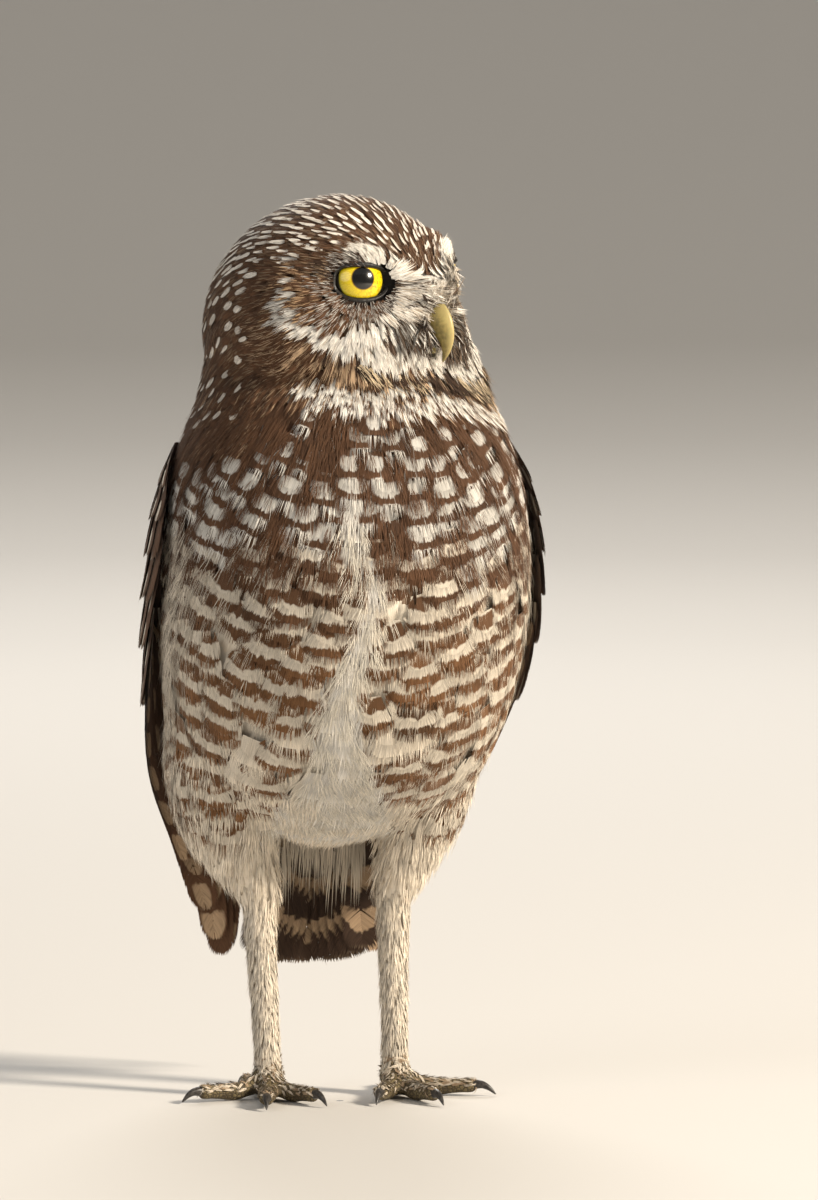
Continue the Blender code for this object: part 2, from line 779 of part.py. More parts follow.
def thigh_shape(name, side, proud=0.0, rings=10, sides=18):
    loops = []
    for k in range(rings + 1):
        x, y, z, half_width, half_depth = THIGH(k / rings)
        fullness = 1 + (THIGH_FULLNESS[side] - 1) * min(1, 4 * (1 - k / rings))
        x = LEG_SPREAD + (x - LEG_SPREAD) * (2 * fullness - 1)
        half_width *= fullness
        loops.append([
            Vector((
                side * (x + (half_width + proud) * math.cos(a)),
                y + (half_depth + proud) * math.sin(a),
                z,
            ))
            for a in (2 * math.pi * i / sides for i in range(sides))
        ])
    return new_object(name, loft(loops))


for word, sign in SIDES.items():
    wing = wing_core("wing_" + word, sign)
    flight = [flight_vane(sign, k, tip) for k, tip in enumerate(PRIMARY_TIPS + SECONDARY_TIPS)]
    coverts = [covert_vane(sign, k, row) for row in COVERTS for k in range(row[0])]
    boolean(wing, "UNION", flight + coverts)
    boolean(wing, "DIFFERENCE", [
        body_shape("body_room", GAP), thigh_shape("thigh_room", sign, GAP)
    ])
    finish(wing, BROWN_PLUMAGE)


SHANK = Profile(
    (0.00, HEEL_BACK, HEEL_HEIGHT, 0.0048),
    (0.25, 0.0250, 0.041, 0.0044),
    (0.60, 0.0220, 0.025, 0.0040),
    (1.00, FOOT_BACK + 0.0005, ANKLE_HEIGHT, 0.0038),
)

# Each toe: its name, the way it points in degrees outward from straight ahead, and
# its length.
TOES = (
    ("inner", -22, 0.0200),
    ("middle", 12, 0.0235),
    ("outer", 68, 0.0190),
    ("hind", 168, 0.0125),
)
CLAW_LENGTH = 0.0085


def toe_direction(side, degrees):
    a = math.radians(degrees)
    return Vector((side * math.sin(a), -math.cos(a), 0))


def toe_path(side, degrees, length):
    """Points along the middle of a toe, from the ball of the foot to the claw."""
    ball = Vector((side * LEG_SPREAD, FOOT_BACK, 0))
    ahead = toe_direction(side, degrees)
    return [
        ball + ahead * (length * share) + Vector((0, 0, height))
        for share, height in (
            (0.0, 0.0048), (0.18, 0.0042), (0.38, 0.0029), (0.58, 0.0024), (0.80, 0.0026),
            (1.0, 0.0028),
        )
    ]


TOE_SWELL = (1.15, 1.12, 1.0, 1.10, 0.94, 0.88)


def toe_shape(name, side, degrees, length):
    path = toe_path(side, degrees, length)
    return new_object(name, tube(path, [TOE_RADIUS * s for s in TOE_SWELL], 10))


def claw_shape(name, side, degrees, length):
    """A curved, tapering claw from the toe's end down to the ground."""
    path = toe_path(side, degrees, length)
    ahead = toe_direction(side, degrees)
    start = path[-1] + ahead * (TOE_RADIUS * 0.44 + GAP)
    points, radii = [], []
    steps = 5
    for k in range(steps):
        share = k / (steps - 1)
        bend = share * math.radians(62)
        reach = CLAW_LENGTH * share
        rise = 0.0009 * math.sin(math.pi * share) - 0.0022 * share ** 2
        points.append(start + ahead * reach * (1 - 0.12 * bend) + Vector((0, 0, rise)))
        radii.append(0.0015 * (1 - share) ** 0.8 + 0.00022)
    return new_object(name, tube(points, radii, 7, flat=1.05, start_pole=False))


for word, sign in SIDES.items():
    thigh = thigh_shape("thigh_" + word, sign)
    boolean(thigh, "DIFFERENCE", [body_shape("body_room", GAP)])
    loops = []
    rings = 8
    for k in range(rings + 1):
        y, z, radius = SHANK(k / rings)
        loops.append([
            Vector((sign * LEG_SPREAD + sign * 0.001 * (1 - k / rings) + radius * math.cos(a),
                    y + radius * 1.1 * math.sin(a), z))
            for a in (2 * math.pi * i / 14 for i in range(14))
        ])
    shank = new_object("shank_" + word, loft(loops))
    z = THIGH(1.0)[2]
    cut_plane(thigh, Vector((0, 0, z + 0.0001)), Vector((0, 0, -1)))
    cut_plane(shank, Vector((0, 0, z - GAP)), Vector((0, 0, 1)))
    foot = new_object("foot_" + word, tube(
        [Vector((sign * LEG_SPREAD, FOOT_BACK, h)) for h in (0.0015, 0.004, 0.0065, ANKLE_HEIGHT - GAP)],
        [0.0030, 0.0046, 0.0042, 0.0037], 12, up=Vector((0, 1, 0)), end_pole=False,
    ))
    toes = [toe_shape("toe", sign, degrees, length) for _, degrees, length in TOES]
    boolean(foot, "UNION", toes)
    cut_plane(foot, Vector((0, 0, 0)), Vector((0, 0, -1)))
    for toe_name, degrees, length in TOES:
        claw = claw_shape(f"claw_{word}_{toe_name}", sign, degrees, length)
        finish(claw, CLAW)
    finish(thigh, PALE_PLUMAGE)
    finish(shank, PALE_PLUMAGE)
    finish(foot, TOE_SKIN)


# ------------------------------------------------------------------ place

# The middle of the whole bird's box stands over the origin.
corners = [
    thing.matrix_world @ Vector(corner) for thing in PARTS.objects for corner in thing.bound_box
]
middle = Vector((
    (min(c.x for c in corners) + max(c.x for c in corners)) / 2,
    (min(c.y for c in corners) + max(c.y for c in corners)) / 2,
    0,
))
for thing in PARTS.objects:
    thing.data.transform(Matrix.Translation(-middle))
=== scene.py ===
"""The looks of a burrowing owl that stands on both feet and watches over its left shoulder.

Metres, +Z up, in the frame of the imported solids: the body faces -Y, the bird's left side is +X,
and it stands on z = 0.
"""

import math

import bmesh
import bpy
import numpy as np
from mathutils import Matrix, Vector
from mathutils.bvhtree import BVHTree
from mathutils.kdtree import KDTree


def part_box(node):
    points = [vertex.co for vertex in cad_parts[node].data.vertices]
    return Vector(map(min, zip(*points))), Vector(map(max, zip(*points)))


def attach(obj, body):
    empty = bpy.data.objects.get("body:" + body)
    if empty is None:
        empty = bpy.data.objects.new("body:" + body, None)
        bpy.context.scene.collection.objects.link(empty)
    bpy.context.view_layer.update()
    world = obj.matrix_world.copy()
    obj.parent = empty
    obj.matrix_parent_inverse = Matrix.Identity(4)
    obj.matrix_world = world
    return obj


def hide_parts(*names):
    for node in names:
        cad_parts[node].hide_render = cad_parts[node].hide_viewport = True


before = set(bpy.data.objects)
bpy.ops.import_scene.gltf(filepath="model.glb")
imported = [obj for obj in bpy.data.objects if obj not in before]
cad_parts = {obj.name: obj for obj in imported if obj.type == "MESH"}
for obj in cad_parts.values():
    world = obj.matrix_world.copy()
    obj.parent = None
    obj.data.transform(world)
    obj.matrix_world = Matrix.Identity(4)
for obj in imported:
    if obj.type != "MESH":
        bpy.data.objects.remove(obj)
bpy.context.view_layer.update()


# ------------------------------------------------------------------ where the head looks
# The head is turned to the bird's left. Its own axes come from the two eyes: one runs across to
# its left and one straight ahead.

EYE_FORWARD = 0.0177  # how far the eyes' middles stand before the head's middle
EYE_RISE = 0.0142  # and how far above it
EYE_RADIUS = 0.0080
LID_SPHERE = 0.0095  # how far the feathers of the lids stand from the middle of each eye


def box_middle(node):
    low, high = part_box(node)
    return (low + high) / 2


SIDES = (("left", 1), ("right", -1))  # the bird's own sides, and which way each lies along X
eye_places = {side: box_middle("eye_" + side) for side, _ in SIDES}
head_across = (eye_places["left"] - eye_places["right"]).normalized()
head_ahead = Vector((head_across.y, -head_across.x, 0))
leftward, forward = np.array(head_across), np.array(head_ahead)
eye_points = {sign: np.array(eye_places[side]) for side, sign in SIDES}
eyes_middle = (eye_places["left"] + eye_places["right"]) / 2
head_middle = eyes_middle - head_ahead * EYE_FORWARD - Vector((0, 0, EYE_RISE))


# ------------------------------------------------------------------ the flesh
# Head, neck, body, thighs, lower legs and feet are one closed form, fused from the solids.
# Its outside is where the plumage ends, so feathers are laid under it and the skin lies deeper.

FLESH = ["head", "neck", "torso"]
FLESH += [f"{part}_{side}" for part in ("thigh", "shank", "foot") for side, _ in SIDES]
SEAM = 0.0002  # each solid is swollen by this much, so that it fuses with its neighbour
GRAIN = 0.00096  # the size of the fused form's faces
ANKLE_HEIGHT = 0.004
CLAW_ROOT = 5  # one in this many of a claw's corners, those nearest its ankle, are at its root
CUFF = 0.0008  # how far the fold of skin stands out round that root


def mesh_from(shape, name):
    """Turns a shape that is being made into a mesh."""
    made = bpy.data.meshes.new(name)
    shape.to_mesh(made)
    shape.free()
    return made


fused = bmesh.new()
for node in FLESH:
    lump = bmesh.new()
    lump.from_mesh(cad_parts[node].data)
    bmesh.ops.remove_doubles(lump, verts=lump.verts, dist=1e-7)
    lump.normal_update()
    for vertex in lump.verts:
        vertex.co += vertex.normal * SEAM
    swollen = mesh_from(lump, node + "_swollen")
    fused.from_mesh(swollen)
    bpy.data.meshes.remove(swollen)

# A fold of skin at the end of each toe closes round the root of its claw.
for node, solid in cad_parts.items():
    if node.startswith("claw_"):
        ankle = box_middle("shank_" + node.split("_")[1])
        ankle.z = ANKLE_HEIGHT
        corners = sorted(
            (solid.matrix_world @ vertex.co for vertex in solid.data.vertices),
            key=lambda place: (place - ankle).length,
        )
        corners = corners[: len(corners) // CLAW_ROOT]
        root = sum(corners, Vector()) / len(corners)
        reach = sum((place - root).length for place in corners) / len(corners) + CUFF
        bmesh.ops.create_icosphere(
            fused, subdivisions=3, radius=reach, matrix=Matrix.Translation(root)
        )

# A dome over each eye carries the plumage on from the face to the rims of the lids.
for middle in eye_places.values():
    bmesh.ops.create_icosphere(
        fused, subdivisions=5, radius=LID_SPHERE, matrix=Matrix.Translation(middle)
    )
skin = bpy.data.objects.new("skin", mesh_from(fused, "form"))
bpy.context.scene.collection.objects.link(skin)
remesh = skin.modifiers.new("fuse", "REMESH")
remesh.mode = "VOXEL"
remesh.voxel_size = GRAIN
ease = skin.modifiers.new("ease", "SMOOTH")
ease.factor = 0.5
ease.iterations = 10
graph = bpy.context.evaluated_depsgraph_get()
skin.data = bpy.data.meshes.new_from_object(skin.evaluated_get(graph))
skin.modifiers.clear()


def numbers(items, title, width=3):
    """The numbers that each item of a mesh has under a title, as the rows of an array."""
    found = np.empty(len(items) * width)
    items.foreach_get(title, found)
    return found.reshape(-1, width)


form_points = numbers(skin.data.vertices, "co")
form_normals = numbers(skin.data.vertex_normals, "vector")
form_faces = [tuple(p.vertices) for p in skin.data.polygons]
form_tree = BVHTree.FromPolygons(form_points.tolist(), form_faces)
form_facing = np.array([form_normals[list(f)].mean(0) for f in form_faces])
form_facing /= np.linalg.norm(form_facing, axis=1)[:, None]


def head_angles(places):
    """Degrees round the head from straight ahead, plus to its left, and degrees up."""
    away = places - np.array(head_middle)
    across, ahead = away @ leftward, away @ forward
    round_it = np.degrees(np.arctan2(across, ahead))
    return round_it, np.degrees(np.arctan2(away[:, 2], np.hypot(across, ahead)))


def steps(values, low, high):
    """0 below low, 1 above high, and a smooth climb between."""
    t = np.clip((values - low) / (high - low), 0, 1)
    return t * t * (3 - 2 * t)


def hill(values, middle, spread):
    """1 at the middle, falling off to both sides."""
    return np.exp(-(((values - middle) / spread) ** 2))


def unit(vectors):
    return vectors / np.maximum(np.linalg.norm(vectors, axis=-1, keepdims=True), 1e-9)


EYE_LOOK = math.radians(37)  # how far each eye looks aside of the head's own front
HEAD_TURN = math.atan2(head_ahead.x, -head_ahead.y)


def eye_axes(sign, rise=0.02):
    """A matrix that carries +Z out of the socket, or above that by rise, and +Y up the face."""
    look = Vector((sign * math.sin(EYE_LOOK), -math.cos(EYE_LOOK), rise)).normalized()
    across = Vector((0, 0, 1)).cross(look).normalized()
    turned = Matrix((across, look.cross(across), look)).transposed()
    return Matrix.Rotation(HEAD_TURN, 3, "Z") @ turned


LID_REACH = math.cos(math.radians(67))  # how far the dome reaches round from its axis
LID_SLACK = 0.0008


def over_lids(places, sign):
    """Which places lie on the dome over one eye."""
    away = places - eye_points[sign]
    reach = np.linalg.norm(away, axis=1)
    ahead = (away @ np.array(eye_axes(sign).col[2])) / np.maximum(reach, 1e-9)
    return (reach < LID_SPHERE + LID_SLACK) & (ahead > LID_REACH)


def on_form(places):
    """The nearest places on the form, and the ways out of it there."""
    near, out = np.empty((len(places), 3)), np.empty((len(places), 3))
    for i, place in enumerate(places.tolist()):
        hit = form_tree.find_nearest(place)
        near[i], out[i] = hit[0], form_facing[hit[2]]
    return near, out


# ------------------------------------------------------------------ the skin
# Bare skin over the flesh. It lies inside the plumage by the depth of the coat, and comes up to
# the surface on the toes, where the bird is bare.

BODY_COAT = 0.0026
HEAD_COAT = 0.0016
LEG_COAT = 0.0009
LEG_TOP = (0.050, 0.085)  # the heights over which the coat of the legs turns into the body's
NECK = (0.186, 0.200)  # and that of the body into the head's
BARE_FOOT = 0.0105  # the height below which the legs are bare
EYE_GAP = 0.0007  # how far the skin lies inside each eyeball
BILL_ROOT = head_middle + head_ahead * 0.0300 + Vector((0, 0, 0.0050))


def bare_of_coat(places):
    """0 where the bird is bare and 1 where it is feathered."""
    return steps(places[:, 2], BARE_FOOT - 0.002, BARE_FOOT + 0.003)


def coat_depth(places):
    depth = LEG_COAT + (BODY_COAT - LEG_COAT) * steps(places[:, 2], *LEG_TOP)
    head = steps(places[:, 2], *NECK)
    return (depth + (HEAD_COAT - depth) * head) * bare_of_coat(places)


skin_points = form_points - form_normals * (coat_depth(form_points) + SEAM)[:, None]
skin_points[:, 2] = np.maximum(skin_points[:, 2], 0.0)
for sign, middle in eye_points.items():
    behind_eye = over_lids(form_points, sign)
    away = skin_points[behind_eye] - middle
    reach = np.linalg.norm(away, axis=1, keepdims=True)
    reach_inside = np.minimum(reach, EYE_RADIUS - EYE_GAP)
    skin_points[behind_eye] = middle + away / reach * reach_inside
skin.data.vertices.foreach_set("co", skin_points.ravel())
skin.data.shade_smooth()
skin.data.uv_layers.new(name="OFBake")
bpy.context.view_layer.objects.active = skin
skin.select_set(True)
bpy.ops.object.mode_set(mode="EDIT")
bpy.ops.mesh.select_all(action="SELECT")
bpy.ops.uv.smart_project(angle_limit=math.radians(66), island_margin=0.004)
bpy.ops.object.mode_set(mode="OBJECT")
skin_uv = numbers(skin.data.uv_layers["OFBake"].uv, "vector", 2)
first_loops = np.empty(len(skin.data.polygons), int)
skin.data.polygons.foreach_get("loop_start", first_loops)


def bake_places(places):
    """Where each place lies on the skin's unwrap."""
    nearest = [form_tree.find_nearest(place)[2] for place in places.tolist()]
    return skin_uv[first_loops[nearest]]


# ------------------------------------------------------------------ eyes
# Each eye is a clear-fronted ball: a bright yellow iris with fine radial fibres and a dark rim
# round a wide black pupil, and painted shade darkening the iris next to the pupil for depth. The
# front bulges a little and is wet and glossy.

IRIS_RADIUS = 0.00615
PUPIL_RADIUS = 0.00305
GAZE_RISE = 0.19  # the bird looks a little above level
BULGE = 0.00045  # how far the clear front stands out
BULGE_SPREAD = 0.38


class Wire:
    """A socket of a node tree. Arithmetic on it adds Math nodes."""

    def __init__(self, tree, socket=None):
        self.tree, self.socket = tree, socket

    def node(self, kind, settings=None, sockets=None, output=0):
        """Adds a node: its settings first, then the values or links of its sockets."""
        made = self.tree.nodes.new(kind)
        for title, setting in (settings or {}).items():
            setattr(made, title, setting)
        for title, value in (sockets or {}).items():
            if isinstance(value, Wire):
                self.tree.links.new(value.socket, made.inputs[title])
            else:
                made.inputs[title].default_value = value
        return Wire(self.tree, made.outputs[output])

    def math(self, operation, *values):
        return self.node("ShaderNodeMath", {"operation": operation}, dict(enumerate(values)))

    def __add__(self, other):
        return self.math("ADD", self, other)

    def __radd__(self, other):
        return self.math("ADD", other, self)

    def __sub__(self, other):
        return self.math("SUBTRACT", self, other)

    def __rsub__(self, other):
        return self.math("SUBTRACT", other, self)

    def __mul__(self, other):
        return self.math("MULTIPLY", self, other)

    def __rmul__(self, other):
        return self.math("MULTIPLY", other, self)

    def __truediv__(self, other):
        return self.math("DIVIDE", self, other)

    def __pow__(self, other):
        return self.math("POWER", self, other)

    def __abs__(self):
        return self.math("ABSOLUTE", self)

    def at_least(self, other):
        return self.math("MAXIMUM", self, other)

    def smooth(self, low, high):
        """0 below low, 1 above high, and a smooth climb between."""
        settings = {"interpolation_type": "SMOOTHSTEP"}
        sockets = {"Value": self, "From Min": low, "From Max": high}
        return self.node("ShaderNodeMapRange", settings, sockets)

    def blend(self, start, end):
        """The colour start where this is 0 and the colour end where it is 1."""
        settings = {"data_type": "RGBA", "clamp_factor": True}
        factor, first, second, mixed_colour = 0, 6, 7, 2
        sockets = {factor: self, first: start, second: end}
        return self.node("ShaderNodeMix", settings, sockets, mixed_colour)

    def noise(self, where, scale, detail=2.0):
        sockets = {"Vector": where, "Scale": scale, "Detail": detail}
        return self.node("ShaderNodeTexNoise", None, sockets)

    def attribute(self, title, output="Fac"):
        return self.node("ShaderNodeAttribute", {"attribute_name": title}, None, output)

    def place(self):
        return self.node("ShaderNodeTexCoord", output="Object")

    def bump(self, strength, distance):
        """The normal of a surface that rises and falls with this."""
        sockets = {"Height": self, "Strength": strength, "Distance": distance}
        return self.node("ShaderNodeBump", None, sockets)

    def parts(self, vector):
        made = self.node("ShaderNodeSeparateXYZ", None, {"Vector": vector}).socket.node
        return [Wire(self.tree, socket) for socket in made.outputs]

    def into(self, shader, title):
        self.tree.links.new(self.socket, shader.inputs[title])


def new_finish(name, fixed):
    """A material, a wire to add nodes with, and its shader with the fixed numbers set."""
    material = bpy.data.materials.new(name)
    material.use_nodes = True
    shader = material.node_tree.nodes["Principled BSDF"]
    for title, number in fixed.items():
        shader.inputs[title].default_value = number
    return material, Wire(material.node_tree), shader


def piece_of(name, mesh, finish, slot, *nodes):
    """Shows a mesh as a piece of the bird that stands for solids."""
    piece = bpy.data.objects.new(name, mesh)
    bpy.context.scene.collection.objects.link(piece)
    piece.data.materials.append(finish)
    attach(piece, "root")
    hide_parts(*nodes)
    return piece


def iris_finish():
    fixed = {"Roughness": 0.18, "Coat Weight": 1.0, "Coat Roughness": 0.015, "Coat IOR": 1.38}
    material, paint, shader = new_finish("iris", fixed)
    disc = paint.node("ShaderNodeUVMap", {"uv_map": "disc"})
    x, y, _ = paint.parts(disc)
    reach = paint.math("SQRT", x * x + y * y)
    angle = paint.math("ARCTAN2", y, x)
    fibre = paint.node("ShaderNodeCombineXYZ", None, {"X": angle * 9.0, "Y": reach * 2.2})
    streaks = paint.noise(fibre, 3.0, 4.0)
    mottle = paint.noise(disc, 7.0, 3.0)
    pupil_edge = PUPIL_RADIUS / IRIS_RADIUS
    depth = (reach - pupil_edge) / (1 - pupil_edge)
    yellow = streaks.smooth(0.35, 0.65).blend((0.72, 0.50, 0.004, 1), (0.90, 0.72, 0.012, 1))
    amber = mottle.smooth(0.50, 0.62) * (1.0 - x * 0.9).smooth(0.6, 1.5) * 0.75
    yellow = amber.blend(yellow, (0.45, 0.22, 0.008, 1))
    yellow = (depth.smooth(0.62, 1.0) * 0.6).blend(yellow, (0.42, 0.36, 0.01, 1))
    ring = reach.smooth(0.93, 1.0).blend(yellow, (0.012, 0.010, 0.006, 1))
    # Painted shade: the iris is darker next to the pupil, so that it seems to lie deeper.
    inner = (1.0 - depth.smooth(-0.02, 0.10)).blend(ring, (0.25, 0.13, 0.004, 1))
    pupil = depth.smooth(-0.06, 0.0).blend((0.002, 0.002, 0.002, 1), inner)
    pupil.into(shader, "Base Color")
    return material


iris = iris_finish()
for side, sign in SIDES:
    ball = bmesh.new()
    bmesh.ops.create_uvsphere(ball, u_segments=72, v_segments=56, radius=1)
    disc = ball.loops.layers.uv.new("disc")
    axes = eye_axes(sign, GAZE_RISE)
    for vertex in ball.verts:
        front = vertex.co.copy()
        bulge = BULGE * math.exp(-((front.x**2 + front.y**2) / BULGE_SPREAD))
        reach = EYE_RADIUS + (bulge if front.z > 0 else 0)
        vertex.co = axes @ (front * reach) + eye_places[side]
    back = axes.transposed()
    for face in ball.faces:
        for corner in face.loops:
            flat = back @ (corner.vert.co - eye_places[side])
            scale = 1 if flat.z > 0 else 1.5 / max(math.hypot(flat.x, flat.y) / IRIS_RADIUS, 1e-3)
            corner[disc].uv = (
                flat.x / IRIS_RADIUS * scale * sign, flat.y / IRIS_RADIUS * scale
            )
    mesh = mesh_from(ball, "eye_" + side)
    mesh.shade_smooth()
    piece_of("eyeball_" + side, mesh, iris, "iris", "eye_" + side)


# ------------------------------------------------------------------ lids
# Both lids are one ring of dark bare skin on the ball. The upper one cuts straight over the
# iris, and both run out into a black corner towards the bill.

LID_BACK = math.radians(70)  # where the ring of the lids ends, round from the socket's axis
LID_THICKNESS = 0.0010
LID_GAP = 0.0004  # how far the lids stand off the ball
LID_COLUMNS = 96
# The section of the ring: share of the thickness, and share of the way from its edge back.
LID_PROFILE = (
    (0.0, 0.0), (0.35, 0.02), (0.80, 0.05), (0.95, 0.10), (0.85, 0.18), (0.55, 0.30),
    (0.40, 0.50), (0.30, 1.0), (0.0, 1.0),
)


def lid_opening(angle, sign):
    """How far the opening reaches from the socket's axis at an angle round it."""
    along, up = math.cos(angle) * sign, math.sin(angle)
    rise, power = (0.0042 + 0.0003 * along, 3.0) if up > 0 else (0.0039, 2.2)
    reach = 0.0067 if along > 0 else 0.0071
    return ((abs(along) / reach) ** power + (abs(up) / rise) ** power) ** (-1 / power)


def lid_finish():
    fixed = {"Specular IOR Level": 0.45, "Roughness": 0.46}
    material, paint, shader = new_finish("lid skin", fixed)
    beads = paint.node("ShaderNodeTexVoronoi", None, {"Vector": paint.place(), "Scale": 1900.0})
    dark = beads.smooth(0.1, 0.7).blend((0.016, 0.014, 0.012, 1), (0.005, 0.004, 0.004, 1))
    dark.into(shader, "Base Color")
    beads.bump(0.5, 0.0002).into(shader, "Normal")
    return material


def bridge(shape, loops):
    """Joins each loop of points to the next by faces."""
    for here, there in zip(loops, loops[1:]):
        for k in range(len(here)):
            n = (k + 1) % len(here)
            shape.faces.new((here[k], here[n], there[n], there[k]))


def smooth_mesh_from(shape, name):
    """Turns a shape into a smooth mesh whose faces all look outwards."""
    bmesh.ops.recalc_face_normals(shape, faces=shape.faces)
    made = mesh_from(shape, name)
    made.shade_smooth()
    return made


lid_skin = lid_finish()
for side, sign in SIDES:
    axes = eye_axes(sign)
    ring = []
    inner = EYE_RADIUS + LID_GAP
    shape = bmesh.new()
    for i in range(LID_COLUMNS):
        angle = 2 * math.pi * i / LID_COLUMNS
        edge = math.asin(lid_opening(angle, sign) / inner)
        loop = []
        for share, along in LID_PROFILE:
            tilt = edge + (LID_BACK - edge) * along
            reach = inner + LID_THICKNESS * share
            x, y = math.cos(angle) * math.sin(tilt), math.sin(angle) * math.sin(tilt)
            way = Vector((x, y, math.cos(tilt)))
            loop.append(shape.verts.new(axes @ (way * reach) + eye_places[side]))
        ring.append(loop)
    bridge(shape, ring + ring[:1])
    mesh = smooth_mesh_from(shape, "lids_" + side)
    piece_of("eyelids_" + side, mesh, lid_skin, "lid_skin", "lids_" + side)


# ------------------------------------------------------------------ bill
# The bill is horn: a ridged upper half that hooks down over a short lower half. It is olive
# yellow with a painted highlight along the ridge, and darker at its root.

# Share along it, how far forward and how high its middle lies in the head's own frame, and its
# half width and half height.
UPPER_BILL = (
    (0.00, 0.0265, 0.0060, 0.0042, 0.0060), (0.30, 0.0315, 0.0048, 0.0035, 0.0054),
    (0.55, 0.0347, 0.0022, 0.0026, 0.0038), (0.75, 0.0361, -0.0012, 0.0017, 0.0023),
    (0.90, 0.0359, -0.0043, 0.0009, 0.0012), (1.00, 0.0348, -0.0070, 0.0002, 0.0002),
)
LOWER_BILL = (
    (0.00, 0.0258, -0.0030, 0.0030, 0.0020), (0.50, 0.0288, -0.0034, 0.0022, 0.0016),
    (0.85, 0.0311, -0.0040, 0.0013, 0.0010), (1.00, 0.0320, -0.0045, 0.0005, 0.0004),
)
NOSTRIL = Vector((0.0040, -0.0322, 0.0062))
NOSTRIL_RADIUS = 0.0008
NOSTRIL_DEPTH = 0.0011
head_frame = Matrix.Translation(head_middle) @ Matrix.Rotation(HEAD_TURN, 4, "Z")


def smooth_rows(table, at):
    """Smooth values through the rows of a table, one column for each value."""
    rows = np.array(table)
    knots, values = rows[:, 0], rows[:, 1:]
    slopes = np.gradient(values, knots, axis=0)
    i = np.clip(np.searchsorted(knots, at, "right") - 1, 0, len(knots) - 2)
    span = knots[i + 1] - knots[i]
    t = (at - knots[i]) / span
    start, end = values[i], values[i + 1]
    lean = span * t * (1 - t) * ((1 - t) * slopes[i] - t * slopes[i + 1])
    return (1 + 2 * t) * (1 - t) ** 2 * start + t * t * (3 - 2 * t) * end + lean


def bill_mesh(name, table, ridge, rings=44, sides=40):
    """Half of the bill, with how high each point lies for a painted highlight, and how near the
    tip.
    """
    path = [smooth_rows(table, k / rings) for k in range(rings + 1)]
    shape, loops = bmesh.new(), []
    for k, (ahead, high, half_width, half_height) in enumerate(path):
        after, before = path[min(k + 1, rings)], path[max(k - 1, 0)]
        along = Vector((0, before[0] - after[0], after[1] - before[1])).normalized()
        over = along.cross(Vector((1, 0, 0))).normalized()
        if over.z < 0 and over.y > 0:
            over.negate()
        loop = []
        for i in range(sides):
            a = 2 * math.pi * i / sides
            narrow = 1 - ridge * max(math.sin(a), 0) ** 2
            place = Vector((math.cos(a) * half_width * narrow, -ahead, high))
            place += over * (half_height * math.sin(a))
            for way in (-1, 1):
                hole = Vector((NOSTRIL.x * way, NOSTRIL.y, NOSTRIL.z))
                near = math.exp(-((place - hole).length / NOSTRIL_RADIUS) ** 2)
                place.x -= way * NOSTRIL_DEPTH * near * ridge
            loop.append(shape.verts.new(head_frame @ place))
        loops.append(loop)
    bridge(shape, loops)
    shape.faces.new(loops[0])
    shape.faces.new(loops[-1])
    mesh = smooth_mesh_from(shape, name)
    high = np.tile(np.sin(2 * math.pi * np.arange(sides) / sides), rings + 1)
    down = np.repeat(np.linspace(0, 1, rings + 1), sides)
    for title, values in (("ridge_highlight", high), ("tip", down)):
        mesh.attributes.new(title, "FLOAT", "POINT").data.foreach_set("value", values)
    return mesh


def horn_finish():
    fixed = {"Specular IOR Level": 0.5, "Subsurface Weight": 0.08, "Subsurface Scale": 0.002}
    material, paint, shader = new_finish("bill horn", fixed)
    place = paint.place()
    grain = paint.noise(place, 700.0, 4.0)
    fine = paint.noise(place, 3500.0, 3.0)
    olive = grain.smooth(0.3, 0.7).blend((0.19, 0.150, 0.045, 1), (0.38, 0.295, 0.095, 1))
    tone = fine.smooth(0.3, 0.8) * 0.35
    horn = tone.blend(olive, (0.16, 0.13, 0.05, 1))
    ridge_highlight, tip = paint.attribute("ridge_highlight"), paint.attribute("tip")
    # A painted highlight: the bill is paler along the top of its ridge.
    horn = (ridge_highlight.smooth(0.35, 0.95) * 0.75).blend(horn, (0.50, 0.41, 0.17, 1))
    horn = ((1.0 - tip.smooth(0.15, 0.55)) * 0.6).blend(horn, (0.075, 0.065, 0.030, 1))
    horn.into(shader, "Base Color")
    (0.28 + grain * 0.2).into(shader, "Roughness")
    fine.bump(0.25, 0.0001).into(shader, "Normal")
    return material


horn = horn_finish()
piece_of("bill_top", bill_mesh("bill_top", UPPER_BILL, 0.42), horn, "horn", "bill_upper")
piece_of("bill_under", bill_mesh("bill_under", LOWER_BILL, 0.0), horn, "horn", "bill_lower")


# ------------------------------------------------------------------ the lie of the coat
# Feathers lie back from the bill and away from the eyes on the head, and down and outwards
# from the middle of the breast on the body. On the legs they point straight down.

# The upper edge of the white brow, in degrees round from straight ahead and degrees up.
BROW_LINE = ((0, 29), (8, 29.5), (14, 31), (20, 35), (27, 40), (36, 42.5), (46, 40.5), (56, 37.5),
             (75, 31))
# How far back the body's own axis lies: height and place.
BODY_LINE = ((0.066, 0.0210), (0.094, 0.0120), (0.117, 0.0015), (0.145, -0.0079), (0.2, -0.0050))


def along_rows(table, at):
    """Values between the rows of a table of two columns."""
    rows = np.array(table)
    return np.interp(at, rows[:, 0], rows[:, 1])


def body_turn(places):
    """Radians round the body's axis from straight ahead, plus to its left."""
    return np.arctan2(places[:, 0], along_rows(BODY_LINE, places[:, 2]) - places[:, 1])


def degrees_round(places):
    """Degrees round the body's axis from straight ahead, to either side."""
    return np.degrees(np.abs(body_turn(places)))


def along_surface(ways, out):
    """The ways, laid flat on a surface that faces out."""
    return unit(ways - out * np.sum(ways * out, -1, keepdims=True))


def ruffled(ways, out, amount, draw):
    """The ways, each turned a little of its own along the surface."""
    turned = np.cross(ways, out) * draw.normal(0, amount, (len(ways), 1))
    return along_surface(ways + turned, out)


